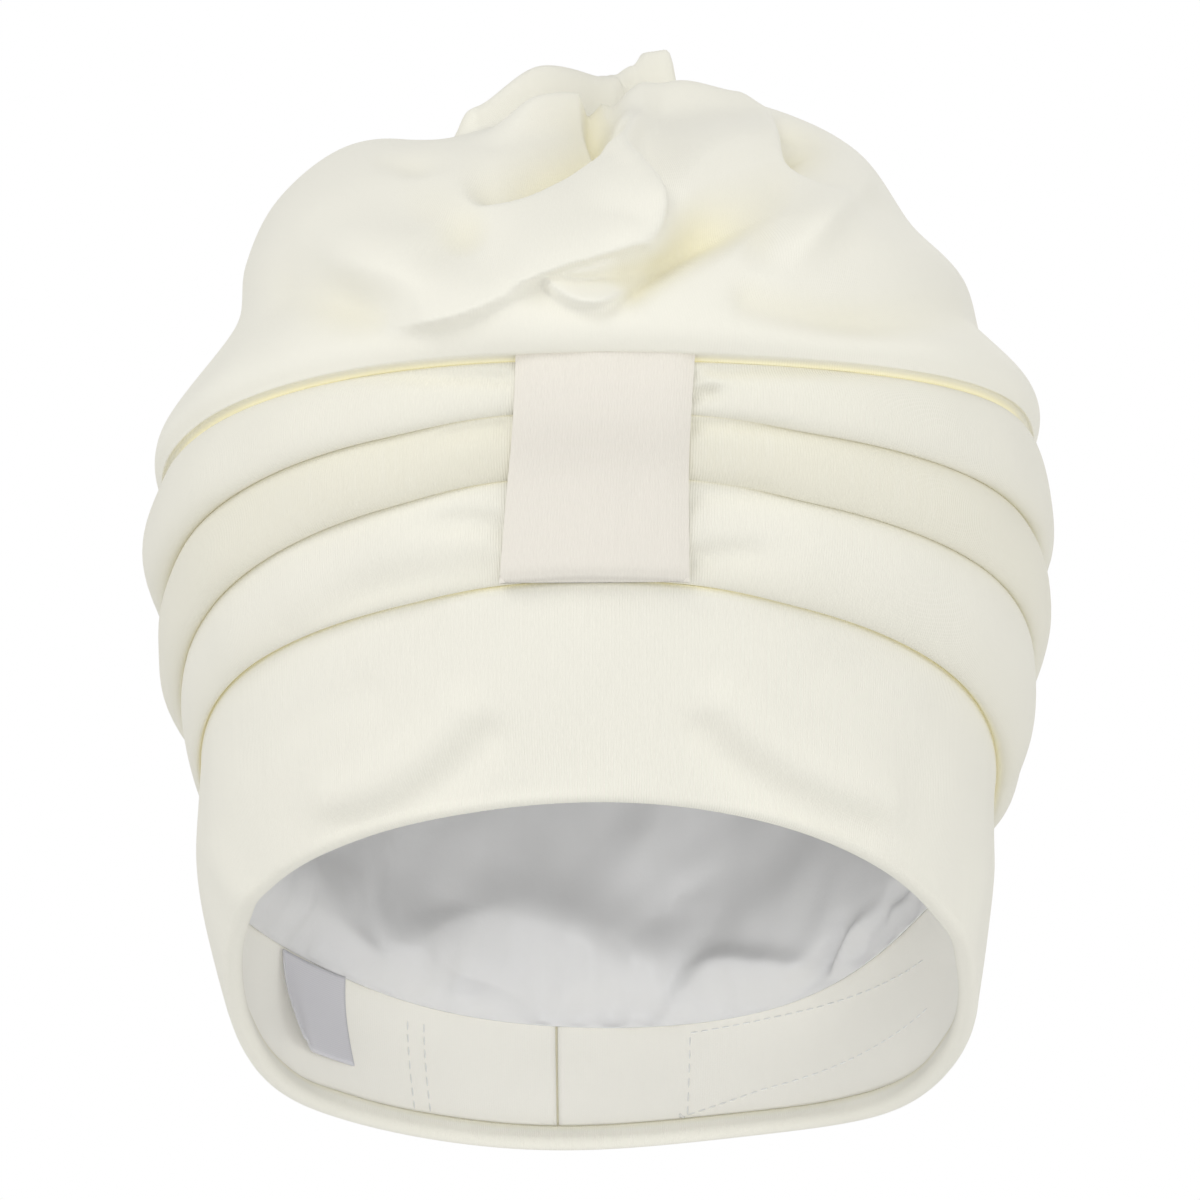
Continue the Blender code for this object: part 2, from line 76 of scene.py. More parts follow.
RINGS = (
    Ring("rim", 83.0, 83.5, -92.0, 92.0, 43.0, 2.0, -6.0, -44.5, 0.035, 4.6, 1.2),
    Ring("band", 89.0, 87.0, -98.0, 105.0, 65.0, 24.0, 18.0, -22.0, 0.035, 3.0, 0.8),
    Ring("seam", 88.5, 88.0, -103.0, 113.0, 89.6, 47.0, 44.5, 4.0, 0.035, 1.0, 0.5),
    Ring("crease_3", 92.0, 94.5, -105.8, 118.0, 111.0, 62.0, 70.5, 27.0, 0.035, 0.0, 0.0),
    Ring("crease_2", 94.5, 96.0, -110.2, 121.0, 124.0, 83.0, 91.0, 49.0, 0.03, 0.0, 0.0),
    Ring("crease_1", 95.5, 95.0, -111.0, 122.0, 134.6, 106.0, 115.5, 71.0, 0.02, 0.0, 0.0),
    Ring("roll_low", 97.5, 96.5, -115.0, 125.0, 136.6, 108.5, 118.5, 74.0, 0.01, 0.0, 0.0),
    Ring("roll", 97.5, 97.0, -117.0, 127.0, 142.0, 117.0, 126.0, 84.0, 0.0, 0.0, 0.0),
    Ring("waist", 81.5, 85.5, -114.0, 125.0, 151.0, 141.0, 139.5, 108.0, 0.0, 0.0, 0.0),
    Ring("dome_low", 78.5, 80.5, -108.0, 119.0, 160.0, 158.0, 154.5, 132.0, 0.0, 0.0, 0.0),
    Ring("dome_high", 71.3, 70.0, -97.0, 106.0, 169.5, 173.0, 166.0, 154.0, 0.0, 0.0, 0.0),
    Ring("shoulder", 58.0, 57.8, -81.0, 86.0, 178.0, 184.0, 183.5, 172.0, 0.0, 0.0, 0.0),
    Ring("top", 40.0, 40.0, -66.0, 52.0, 184.0, 187.5, 192.5, 186.0, 0.0, 0.0, 0.0),
    Ring("gather", 18.0, 19.0, -52.0, -4.0, 187.5, 189.0, 194.5, 192.0, 0.0, 0.0, 0.0),
    Ring("twist", 0.0, 0.0, -34.0, -34.0, 190.0, 190.0, 190.0, 190.0, 0.0, 0.0, 0.0),
)
LEVEL = {ring.name: index for index, ring in enumerate(RINGS)}
LAST_LEVEL = len(RINGS) - 1.0
RING_VALUES = np.array([ring[1:] for ring in RINGS])
SLOPE_STEP = 0.02
TWIST_MARGIN = 0.35


class Roll(NamedTuple):
    """One stacked fold above a crease, and how far it stands out at the brow, sides and nape, in mm."""

    crease: str
    front: float
    left: float
    right: float
    back: float


ROLLS = (
    Roll("seam", 4.5, 3.0, 6.0, 4.0),
    Roll("crease_3", 4.0, 5.5, 5.0, 4.0),
    Roll("crease_2", 4.0, 6.5, 5.5, 4.0),
)
ROLL_ROWS = 26
# Painted shade on each roll's front, strongest at the brow, darkest on the middle roll.
ROLL_PAINTED_SHADES = (0.08, 0.62, 0.20)
ROLL_INSIDE_SHARE = 0.55
ROLL_DROOP = 3.4
ROLL_RECESS = 0.5
ROLL_UNEVEN = 0.10
ROLL_UNEVEN_LENGTH = 30.0
ROLL_ROW_SPREAD = 1.15
ROLL_INSIDE_STATIONS = (0.0, 0.25, 0.5, 0.75)
# Painted shade near each crease and on each roll's underside.
CREASE_SHADE = 0.9
CREASE_REACH_LOW = 0.12
CREASE_REACH_HIGH = 0.14
UNDER_SHADE = 0.36
UNDER_REACH = 0.42
PINCH_HALF_ANGLE = 11.0
PINCH_FADE = 16.0
PINCHED_DEPTH = 1.8


class Fold(NamedTuple):
    """A ridge, or with a negative height a valley, drawn through three places on the cap, in mm.

    The places are seen from the front (X and Z), or from above (X and Y) for a top fold. The widths lie to
    the left and to the right of the way from start to end. The shares say how much of the height is left at
    the start and at the end. The lean moves a fold's crest over its foot, as a share of its height, and a
    higher power gives a flatter crest with steeper flanks.
    """

    name: str
    start: tuple
    middle: tuple
    end: tuple
    height: float
    width_left: float
    width_right: float
    start_share: float = 1.0
    end_share: float = 1.0
    lean: tuple = (0.0, 0.0)
    power: float = 2.0


DOWN = (0.0, -0.35)
DOWN_RIGHT = (0.15, -0.2)
RIGHT = (0.25, 0.0)
FRONT_FOLDS = (
    Fold("main hem left", (-48.0, 141.2), (-27.0, 145.4), (-14.0, 151.8), 7.0, 13.0, 2.0, 0.0, 0.9, DOWN),
    Fold("main hem", (-14.0, 151.8), (-4.0, 155.6), (7.6, 158.2), 8.5, 11.0, 1.4, 0.9, 1.0, DOWN),
    Fold("main nose", (7.6, 158.2), (10.8, 163.5), (7.2, 172.5), 8.5, 10.0, 1.9, 1.0, 0.6, RIGHT),
    Fold("main neck", (7.2, 171.0), (5.0, 180.0), (9.5, 189.0), 5.5, 4.5, 2.4, 0.9, 0.4),
    Fold("left drape", (-60.0, 164.5), (-44.0, 154.5), (-22.0, 150.0), 7.0, 9.0, 7.0, 0.3, 0.6),
    Fold("tongue hem", (-10.6, 150.6), (-1.5, 146.4), (9.5, 152.6), 5.2, 3.6, 1.3, 0.8, 0.3, DOWN_RIGHT),
    Fold("tongue roll", (-11.0, 152.4), (-3.0, 153.4), (5.5, 156.4), 4.6, 2.2, 2.4, 0.7, 0.9, DOWN_RIGHT),
    Fold("twist cord", (-0.8, 180.8), (4.0, 185.0), (9.0, 189.0), 3.4, 2.0, 1.8, 0.9, 0.5),
    Fold("right ridge", (16.5, 168.0), (21.0, 177.0), (36.0, 184.0), 3.0, 7.0, 4.0, 0.4, 0.8),
    Fold("right drape", (53.0, 174.0), (44.0, 164.5), (37.0, 154.0), 5.0, 5.0, 7.0, 0.5, 0.1),
    Fold("under the rib", (-23.0, 169.4), (-13.0, 172.3), (-0.8, 180.2), -9.0, 6.0, 1.5, 0.5, 1.0),
    Fold("twist mouth", (0.4, 191.5), (-2.6, 188.4), (0.8, 182.0), -7.5, 4.0, 1.2, 0.4, 1.0),
    Fold("tongue crease", (-6.0, 150.6), (1.0, 151.8), (7.5, 156.4), -3.0, 1.4, 1.4, 0.2, 1.0),
    Fold("right valley", (7.5, 150.4), (21.0, 159.2), (38.0, 167.5), -9.0, 8.0, 3.2, 0.8, 0.4),
    Fold("right wedge", (40.0, 187.5), (41.5, 181.0), (46.0, 175.0), -7.0, 7.0, 1.8, 0.7, 0.4),
    Fold("right groove", (42.5, 170.0), (33.5, 162.0), (31.0, 152.0), -3.0, 5.0, 6.0, 0.4, 0.1),
    Fold("right base", (31.0, 146.5), (52.0, 143.5), (76.0, 146.0), -3.2, 4.5, 3.5, 0.7, 0.3),
    Fold("left base", (-66.0, 150.5), (-50.0, 146.0), (-38.0, 144.5), -3.2, 4.5, 5.0, 0.3, 0.4),
    Fold("left hollow", (-36.0, 164.0), (-29.0, 158.5), (-22.0, 157.0), -5.5, 8.0, 6.0, 0.4, 0.6),
    Fold("left dimple", (-46.0, 178.5), (-40.0, 177.0), (-33.0, 177.0), -1.2, 2.5, 2.5, 0.6, 0.3),
)
STEEP = 4.0
TOP_FOLDS = (
    Fold("left petal", (-27.0, -30.0), (-10.0, -25.0), (2.0, -22.0), 11.8, 4.2, 3.6, 0.50, 0.7, power=STEEP),
    Fold("right petal", (0.5, -19.0), (8.0, -17.5), (13.6, -16.5), 10.6, 3.6, 3.0, 0.68, 0.96, power=STEEP),
    Fold("petal tip", (10.4, -17.1), (12.0, -16.8), (13.6, -16.5), 12.3, 3.6, 3.0, power=STEEP),
    Fold("rib", (-24.0, -70.0), (-12.0, -57.0), (-0.4, -46.0), 7.0, 7.0, 4.0, 0.0, 1.0),
    Fold("right crest", (1.5, -47.0), (14.0, -39.0), (30.0, -28.0), 5.0, 5.0, 4.5, 0.8, 0.5),
    Fold("left dip", (-33.0, -44.0), (-33.0, -20.0), (-38.0, 6.0), -3.8, 8.0, 8.0, 0.3, 0.5),
    Fold("crown back left", (-8.0, -8.0), (-24.0, 22.0), (-40.0, 60.0), -3.0, 8.0, 8.0),
    Fold("crown back middle", (4.0, -4.0), (6.0, 32.0), (2.0, 74.0), -3.0, 8.0, 8.0),
    Fold("crown back right", (12.0, -8.0), (32.0, 20.0), (46.0, 56.0), -3.0, 8.0, 8.0),
)
FOLD_BLEND = 5.0
BAND_WRINKLES = (
    Fold("left brow wrinkle", (-57.0, 44.0), (-40.0, 52.0), (-29.0, 62.0), 1.6, 4.5, 5.5),
    Fold("left brow dip", (-54.0, 38.0), (-38.0, 44.0), (-24.0, 57.0), -1.5, 4.0, 5.0),
    Fold("right brow dip", (22.0, 58.0), (34.0, 47.0), (56.0, 38.0), -1.6, 4.5, 4.5),
    Fold("right brow wrinkle", (26.0, 63.0), (40.0, 52.0), (60.0, 42.0), 1.6, 4.5, 5.0),
    Fold("right seam dip", (48.0, 72.0), (57.0, 66.0), (68.0, 48.0), -0.8, 5.0, 5.0),
    Fold("left seam dip", (-74.0, 52.0), (-66.0, 58.0), (-50.0, 66.0), -0.7, 5.0, 5.0),
    Fold("left side wrinkle", (-84.0, 30.0), (-78.0, 22.0), (-70.0, 12.0), 0.9, 4.0, 4.0),
    Fold("right side wrinkle", (84.0, 26.0), (80.0, 14.0), (74.0, 2.0), 0.9, 4.0, 4.0),
)
ROLL_FOLDS = (
    Fold("left soft crease", (-24.0, 91.9), (-47.6, 87.1), (-64.5, 79.0), -1.8, 2.5, 4.5, 0.5, 0.4),
    Fold("left second line", (-50.0, 131.0), (-34.0, 131.5), (-19.5, 130.7), -1.3, 1.4, 1.8, 0.3, 1.0),
    Fold("left pucker", (-20.0, 121.0), (-27.0, 120.2), (-38.0, 117.5), -1.2, 2.5, 1.6, 1.0, 0.2),
    Fold("left pucker low", (-20.5, 100.0), (-26.0, 101.5), (-38.0, 101.0), -1.6, 3.0, 2.2, 1.0, 0.2),
    Fold("right second line", (19.5, 132.0), (42.0, 132.8), (61.0, 131.4), -1.3, 1.4, 1.6, 0.8, 0.3),
    Fold("right pucker", (18.5, 127.4), (21.5, 127.9), (26.0, 129.0), -2.0, 1.2, 1.8, 1.0, 0.2),
    Fold("right pucker ridge", (19.5, 133.0), (22.0, 131.0), (25.0, 129.8), 1.0, 1.4, 1.4, 1.0, 0.4),
    Fold("right lower line", (18.3, 121.0), (29.0, 121.3), (44.0, 120.0), -1.3, 1.4, 1.7, 1.0, 0.2),
    Fold("right mid pucker", (19.0, 106.0), (25.0, 107.5), (40.0, 106.5), -1.4, 2.6, 2.6, 1.0, 0.2),
    Fold("right pucker low", (19.0, 93.5), (25.0, 95.0), (38.0, 95.0), -1.6, 2.4, 3.2, 1.0, 0.2),
)
FRONT_FOLDS_END_Y = -38.0
FOLD_FADE_Y = 16.0
TOP_FOLDS_START_Z = 150.0
TOP_FOLDS_FADE_Z = 24.0
FOLD_STEPS = 13

COLUMNS = 400
FRONT_CROWDING = 0.38
CROWN_ROWS = 200
CROWN_ROWS_BELOW_GATHERS = 0.70
GATHERS_BELOW_TWIST = 1.6
CROWN_ROWS_END = 0.04
CROWN_SOFT = 0.5
CROWN_SOFT_LENGTH = 40.0
CROWN_SOFT_FADE = 1.5
CROWN_CALM_LEVEL = 13.6
# Painted crease shade on the crown: valley depth for full shade, and the shaded band along the lower edge.
CROWN_DEEP = 11.0
CROWN_EDGE_LEVELS = 0.25
CROWN_EDGE_BEHIND = 0.4
NO_LIMIT = 99.0
CROWN_INSIDE_STEP = 7
CROWN_INSIDE_HIGH = 0.0
CROWN_INSIDE_INSET = 3.0
FORWARD_LIFT = 0.35
FLAT_FROM = 0.75
FLAT_FADE = 0.2
STEADY_LEVEL = 6.3

HEM_THICK = 4.6
HEM_HEIGHT = 6.5
BAND_HEIGHT = 50.0
BAND_LOW = 0.2
HEM_ROUND_STEPS = 14
BAND_ROWS = 40
BAND_INNER_ROWS = 16
HEM_INNER_ROWS = 5
HEM_INNER_SHADE = 0.6
BAND_INNER_SHADE = 0.5
SEAM_SHADE_FROM = 1.93
SEAM_SHADE_FADE = 0.07
WRINKLES_END_Y = -30.0
WRINKLES_FADE_Y = 40.0
BAND_SOFT = 0.35
BAND_SOFT_LENGTH = 34.0
RIM_WAVE = 1.0
RIM_WAVES = 5
RIM_WAVE_TURN = 0.8
RIM_WAVE_LEVELS = 1.2
RIM_WAVE_START_Y = 20.0
RIM_WAVE_FADE_Y = 50.0

FACING_THICK = 1.2
FACING_LOW = 0.29
FACING_TOP = 1.36
FACING_END_X = -10.0
FACING_END_GAP = 0.6
FACING_ROWS = 24
FACING_BULGE = 0.35
FACING_BULGE_LENGTH = 26.0
FACING_BULGE_LIMITS = (-0.2, 0.4)
LIFT_LEFT = 0.22
LIFT_LEFT_AT = -125.0
LIFT_RIGHT = 0.50
LIFT_RIGHT_AT = 112.0
LIFT_WIDTH = 28.0

LINING_THICK = 0.4
LINING_ROWS = 120
LINING_LIFT_SHARES = (1.0, 1.0, 1.0, 0.6, 0.2, 0.0, 0.0, 0.0, 0.0, 0.0)
LINING_FOLDS = (
    Fold("billow edge", (-40.0, -16.0), (-46.0, 2.0), (-28.0, 11.0), 7.0, 3.0, 16.0, 0.3, 0.8),
    Fold("billow crest", (-28.0, 11.0), (-8.0, 6.0), (18.0, -2.0), 6.5, 9.0, 10.0, 0.8, 0.5),
    Fold("billow crease", (6.0, 3.0), (16.0, 12.0), (30.0, 22.0), -3.0, 3.0, 5.0, 0.4, 0.3),
    Fold("right corner", (18.0, -13.0), (24.0, -2.0), (52.0, -3.0), 5.5, 3.5, 8.0, 0.5, 0.6),
    Fold("right corner dip", (14.0, -12.0), (19.0, -3.0), (24.0, 5.0), -2.6, 3.0, 3.0, 0.5, 0.4),
    Fold("right pucker", (50.0, -6.0), (54.0, 2.0), (55.0, 10.0), -4.0, 2.0, 3.0, 1.0, 0.3),
    Fold("right pucker ridge", (55.0, -4.0), (60.0, 6.0), (66.0, 14.0), 4.0, 2.4, 3.0, 0.8, 0.6),
    Fold("right pucker line", (60.0, 2.0), (66.0, 14.0), (72.0, 24.0), -3.0, 2.0, 2.0, 0.8, 0.4),
    Fold("left hem fold", (-66.0, 20.0), (-56.0, 2.0), (-40.0, -8.0), 2.5, 4.0, 5.0, 0.3, 0.6),
)
LINING_FOLDS_START_Y = 15.0
LINING_FOLDS_FADE_Y = 30.0
LINING_GATHERS = 58
LINING_GATHER_HEIGHT = 0.5
LINING_GATHER_ROWS = 2.4
LINING_FREE_FROM = 2.0
LINING_CALM_FROM = 7.0
LINING_CALM_FADE = 3.0
LINING_BILLOW = 2.4
LINING_BILLOW_LENGTH = 42.0
LINING_BILLOW_FLATTEN = (1.0, 1.0, 0.6)
LINING_CRUMPLE = 0.9
LINING_CRUMPLE_LENGTH = 15.0
LINING_CREASE = 1.1
LINING_CREASE_LENGTH = 24.0
LINING_NEAREST = -3.0

TAB_HALF_TOP = 18.4
TAB_HALF_BOTTOM = 19.6
TAB_LEAN = 2.4
TAB_THICK = 2.2
TAB_EDGE_DROP = 1.7
TAB_LOW = 0.01
TAB_HIGH = 0.985
TAB_TUCK_FROM = 0.80
TAB_RISE = 2.7
TAB_WAIST = 0.7
TAB_ROWS = 70
TAB_COLUMNS = 60
TAB_SOFT = 0.30
TAB_END_DROP = 1.1
TAB_END_FROM = 0.05
TAB_END_FADE = 0.04

LABEL_AZIMUTH = -130.0
LABEL_WIDTH = 22.0
LABEL_HEIGHT = 20.0
LABEL_TOP = 1.36
LABEL_THICK = 0.5
LABEL_LIFT = 0.7
LABEL_CURL = 0.6
LABEL_CORNER = 3.2
LABEL_CORNER_FROM = 0.2
LABEL_ROWS = 24
LABEL_COLUMNS = 30


class Inset(NamedTuple):
    """How far the lining's outer face lies inside the cap's outer face at one level, in mm."""

    level: float
    inset: float


LINING_INSETS = (
    Inset(1.17, 3.3),
    Inset(1.30, 4.4),
    Inset(1.55, 8.5),
    Inset(2.0, 9.5),
    Inset(3.2, 8.0),
    Inset(5.0, 10.5),
    Inset(7.5, 14.5),
    Inset(9.5, 17.5),
    Inset(11.2, 20.0),
    Inset(12.3, 21.0),
)


def smooth_table(values, level):
    """Values of a table's columns at a level between its rows, along a smooth curve through them."""
    level = np.clip(level, 0.0, len(values) - 1.0)
    low = np.clip(np.floor(level).astype(int), 0, len(values) - 2)
    share = (level - low)[..., None]
    before = values[np.maximum(low - 1, 0)]
    start = values[low]
    end = values[low + 1]
    after = values[np.minimum(low + 2, len(values) - 1)]
    slope_start = (end - before) / 2
    slope_end = (after - start) / 2
    cubed = share**3
    squared = share**2
    return (
        start * (2 * cubed - 3 * squared + 1)
        + slope_start * (cubed - 2 * squared + share)
        + end * (3 * squared - 2 * cubed)
        + slope_end * (cubed - squared)
    )


def body(level, azimuth):
    """The cap's smooth outer face, before its rolls and folds."""
    level, azimuth = np.broadcast_arrays(level, azimuth)
    values = smooth_table(RING_VALUES, level)
    left, right, front, back, z_front, z_left, z_right, z_back, square, sag_left, sag_right = np.moveaxis(
        values, -1, 0
    )
    sine = np.sin(azimuth)
    cosine = np.cos(azimuth)
    square = 1 + square * np.sin(2 * azimuth) ** 2
    half = (left + right) / 2 + (right - left) / 2 * sine
    z_side = (z_left + z_right) / 2 + (z_right - z_left) / 2 * sine
    z_mean = (z_front + z_back) / 2
    sag = ((sag_left + sag_right) / 2 + (sag_right - sag_left) / 2 * sine) * sine**2 * (1 - cosine) ** 2
    x = half * sine * square
    y = (front + back) / 2 - (back - front) / 2 * cosine * square
    z = (z_mean + z_side) / 2 + (z_front - z_back) / 2 * cosine + (z_mean - z_side) / 2 * np.cos(2 * azimuth)
    return np.stack([x, y, z - sag], axis=-1)


def unit(vectors):
    """Vectors made one long."""
    return vectors / np.maximum(np.linalg.norm(vectors, axis=-1, keepdims=True), 1e-9)


def outward(level, azimuth):
    """The outward direction of the smooth outer face."""
    level = np.clip(level, SLOPE_STEP, LAST_LEVEL - TWIST_MARGIN)
    along = body(level, azimuth + SLOPE_STEP) - body(level, azimuth - SLOPE_STEP)
    up = body(level + SLOPE_STEP, azimuth) - body(level - SLOPE_STEP, azimuth)
    return unit(np.cross(along, up))


def upward(level, azimuth):
    """The direction up the smooth outer face."""
    level = np.clip(level, SLOPE_STEP, LAST_LEVEL - TWIST_MARGIN)
    return unit(body(level + SLOPE_STEP, azimuth) - body(level - SLOPE_STEP, azimuth))


def ease(value):
    """A smooth step from 0 to 1."""
    value = np.clip(value, 0.0, 1.0)
    return value * value * (3 - 2 * value)


def turned_from_brow(azimuth):
    """Degrees from the brow, without a sign."""
    return np.degrees(np.abs((azimuth + pi) % (2 * pi) - pi))


def off_tab(azimuth):
    """0 under the centre tab, 1 well beside it."""
    return ease((turned_from_brow(azimuth) - PINCH_HALF_ANGLE) / PINCH_FADE)


def ripple(places, wavelength, seed, waves=7):
    """A smooth irregular value from -1 to 1 that varies over places, in mm."""
    random = np.random.default_rng(seed)
    total = np.zeros(places.shape[:-1])
    for _ in range(waves):
        way = unit(random.normal(size=3))
        stretch = 2 * pi / (wavelength * random.uniform(0.7, 1.5))
        total = total + np.sin(places @ way * stretch + random.uniform(0, 2 * pi))
    return total / waves**0.5 / 1.5


def fold_height(fold, across, up):
    """The height that a fold adds at places given in its own view."""
    start = np.array(fold.start)
    end = np.array(fold.end)
    control = 2 * np.array(fold.middle) - (start + end) / 2
    shares = np.linspace(0, 1, FOLD_STEPS)[:, None]
    way_points = (1 - shares) ** 2 * start + 2 * shares * (1 - shares) * control + shares**2 * end
    places = np.stack([across, up], axis=-1)
    best = np.full(across.shape, 1e9)
    for low, high in zip(way_points[:-1], way_points[1:]):
        run = high - low
        along = np.clip((places - low) @ run / (run @ run), 0, 1)
        apart = places - low - along[..., None] * run
        far = np.maximum(np.linalg.norm(apart, axis=-1), 1e-6)
        side = (run[0] * apart[..., 1] - run[1] * apart[..., 0]) / far / np.linalg.norm(run)
        width = (fold.width_left + fold.width_right) / 2 + (fold.width_left - fold.width_right) / 2 * side
        best = np.minimum(best, far / width)
    share = (places - start) @ (end - start) / ((end - start) @ (end - start))
    rise = fold.start_share + (1 - fold.start_share) * ease(2 * share)
    fall = fold.end_share + (1 - fold.end_share) * ease(2 - 2 * share)
    return fold.height * rise * fall * np.exp(-(best**fold.power))


def fold_sum(folds, across, up):
    """All the folds together, with their lean: ridges that meet run into each other without doubling."""
    heights = [fold_height(fold, across, up) for fold in folds]
    weights = [np.maximum(height, 1e-3) ** FOLD_BLEND for height in heights]
    ridges = sum(weights)
    leans = [weight[..., None] * np.array(fold.lean) for weight, fold in zip(weights, folds)]
    lean = sum(leans) / ridges[..., None]
    valleys = sum(np.maximum(-height, 0) ** FOLD_BLEND for height in heights)
    total = ridges ** (1 / FOLD_BLEND) - valleys ** (1 / FOLD_BLEND)
    return total, lean * np.maximum(total, 0)[..., None]


def grid_of(rows, columns):
    """Rows of levels and columns of azimuths as two arrays of one shape."""
    return np.meshgrid(np.array(rows, dtype=float), columns, indexing="ij")


def azimuths(columns=COLUMNS):
    """Azimuths round the cap, closer together at the brow, where the folds are fine."""
    even = np.linspace(-pi, pi, columns, endpoint=False)
    return even - FRONT_CROWDING * np.sin(even)


class Value:
    """A shader socket that takes part in Python sums: each operator adds a Math node."""

    def __init__(self, tree, socket):
        self.tree = tree
        self.socket = socket

    def combine(self, operation, first, second):
        node = self.tree.nodes.new("ShaderNodeMath")
        node.operation = operation
        for slot, value in zip(node.inputs, (first, second)):
            if isinstance(value, Value):
                self.tree.links.new(value.socket, slot)
            else:
                slot.default_value = value
        return Value(self.tree, node.outputs[0])

    def __add__(self, other):
        return self.combine("ADD", self, other)

    __radd__ = __add__

    def __mul__(self, other):
        return self.combine("MULTIPLY", self, other)

    __rmul__ = __mul__

    def __sub__(self, other):
        return self.combine("SUBTRACT", self, other)

    def __rsub__(self, other):
        return self.combine("SUBTRACT", other, self)

    def __pow__(self, other):
        return self.combine("POWER", self, other)


class Finish:
    """A material whose nodes are added one call at a time."""

    def __init__(self, name):
        self.material = bpy.data.materials.new(name)
        self.material.use_nodes = True
        self.tree = self.material.node_tree
        self.shader = self.tree.nodes["Principled BSDF"]

    def node(self, kind, settings=None, output=0, **inputs):
        """Adds a node, sets it, fills or links its sockets and returns one of its outputs."""
        node = self.tree.nodes.new(kind)
        for key, value in (settings or {}).items():
            setattr(node, key, value)
        for key, value in inputs.items():
            self.fill(node.inputs[key.replace("_", " ")], value)
        return Value(self.tree, node.outputs[output])

    def fill(self, socket, value):
        if isinstance(value, Value):
            self.tree.links.new(value.socket, socket)
        else:
            socket.default_value = value

    def principled(self, **inputs):
        for key, value in inputs.items():
            self.fill(self.shader.inputs[key.replace("_", " ")], value)

    def attribute(self, name):
        return self.node("ShaderNodeAttribute", {"attribute_name": name}, output=2)

    def mix_colour(self, factor, first, second):
        node = self.tree.nodes.new("ShaderNodeMix")
        node.data_type = "RGBA"
        self.fill(node.inputs[0], factor)
        self.fill(node.inputs[6], first)
        self.fill(node.inputs[7], second)
        return Value(self.tree, node.outputs[2])

    def noise(self, vector, scale, detail=2.0):
        return self.node("ShaderNodeTexNoise", None, Vector=vector, Scale=scale, Detail=detail)


CREAM = (0.900, 0.882, 0.785, 1.0)
# Painted shade: yellowed colours that the crease value mixes into the cloth in creases and under rolls.
PAINTED_CREASE_SHADE = (0.820, 0.775, 0.560, 1.0)
PAINTED_ROLL_CREASE_SHADE = (0.780, 0.752, 0.620, 1.0)
# Painted glow: emission colour and strengths for the creases and for the whole facing, in place of light
# through the cloth.
CREASE_GLOW = (0.90, 0.82, 0.46, 1.0)
GLOW = 0.24
FACING_GLOW = 0.12
BLACK = (0.0, 0.0, 0.0, 1.0)
TAB_CREAM = (0.850, 0.812, 0.732, 1.0)
FACING_CREAM = (0.89, 0.875, 0.81, 1.0)
FILM_WHITE = (0.81, 0.81, 0.81, 1.0)
LABEL_WHITE = (0.71, 0.705, 0.75, 1.0)
STREAKS = (1100.0, 1100.0, 40.0)
THREAD_WHITE = (0.93, 0.93, 0.91, 1.0)
THREAD_YELLOW = (0.80, 0.75, 0.55, 1.0)
RIB_PITCH = 0.0006
RIB_DEPTH = 0.00014
FUZZ_SHARE = 0.45
DULLER_SHARE = 0.955
# Painted highlight colour for the lining's crinkle crests.
FILM_PAINTED_HIGHLIGHT = (0.85, 0.85, 0.855, 1.0)
LABEL_BRIGHT = (0.75, 0.745, 0.78, 1.0)
THREAD_SHADE = 0.86
FLOOR_GREY = (0.67, 0.67, 0.67, 1.0)
FLOOR_GLOW = 0.155
WHITE = (1.0, 1.0, 1.0, 1.0)


def jersey(name, colour, crease, rib_strength, through=None):
    """Fine vertical-ribbed jersey with painted shade, yellower, where the crease value is high, and a
    painted glow in place of light through the cloth.
    """
    finish = Finish(name)
    cloth = finish.node("ShaderNodeUVMap", {"uv_map": "cloth"})
    place = finish.node("ShaderNodeTexCoord", output=3)
    # Painted shade: the crease value mixes the colour towards the yellowed shade colour.
    depth = finish.attribute("crease")
    blotch = finish.noise(place, 28.0)
    shade = finish.mix_colour(depth, colour, crease)
    duller = tuple(DULLER_SHARE * part for part in colour[:3]) + (1.0,)
    streaks = finish.noise(finish.node("ShaderNodeMapping", None, Vector=place, Scale=STREAKS), 1.0)
    mottled = finish.mix_colour((blotch - 0.45) * 0.8 + (streaks - 0.5) * rib_strength * 0.9, shade, duller)
    # Painted glow: emission in the deepest creases, or the given colour all over the piece.
    glow = through or finish.mix_colour(depth**4, BLACK, CREASE_GLOW)
    ribs = finish.node(
        "ShaderNodeTexWave",
        {"wave_type": "BANDS", "bands_direction": "X", "wave_profile": "SIN"},
        Vector=cloth,
        Scale=2 * pi / 20.0 / RIB_PITCH,
        Distortion=0.4,
    )
    fuzz = finish.noise(place, 2600.0, 3.0)
    height = ribs * rib_strength + fuzz * FUZZ_SHARE
    bump = finish.node("ShaderNodeBump", None, Strength=0.45, Distance=RIB_DEPTH, Height=height)
    finish.principled(Base_Color=mottled, Roughness=0.88, Normal=bump)
    finish.principled(Sheen_Weight=0.12, Sheen_Roughness=0.5)
    finish.principled(Emission_Color=glow, Emission_Strength=FACING_GLOW if through else GLOW)
    return finish.material


def lining_film():
    """White coated film: a little shine, a fine crinkle with a painted highlight on its crests."""
    finish = Finish("lining_film")
    place = finish.node("ShaderNodeTexCoord", output=3)
    crinkle = finish.noise(place, 90.0, 6.0)
    grain = finish.noise(place, 1800.0)
    bump = finish.node("ShaderNodeBump", None, Strength=0.35, Distance=0.0006, Height=crinkle + grain * 0.08)
    # Painted highlight: the crinkle's crests are painted lighter.
    shade = finish.mix_colour(crinkle, FILM_WHITE, FILM_PAINTED_HIGHLIGHT)
    finish.principled(Base_Color=shade, Roughness=crinkle * 0.2 + 0.36, Normal=bump)
    return finish.material


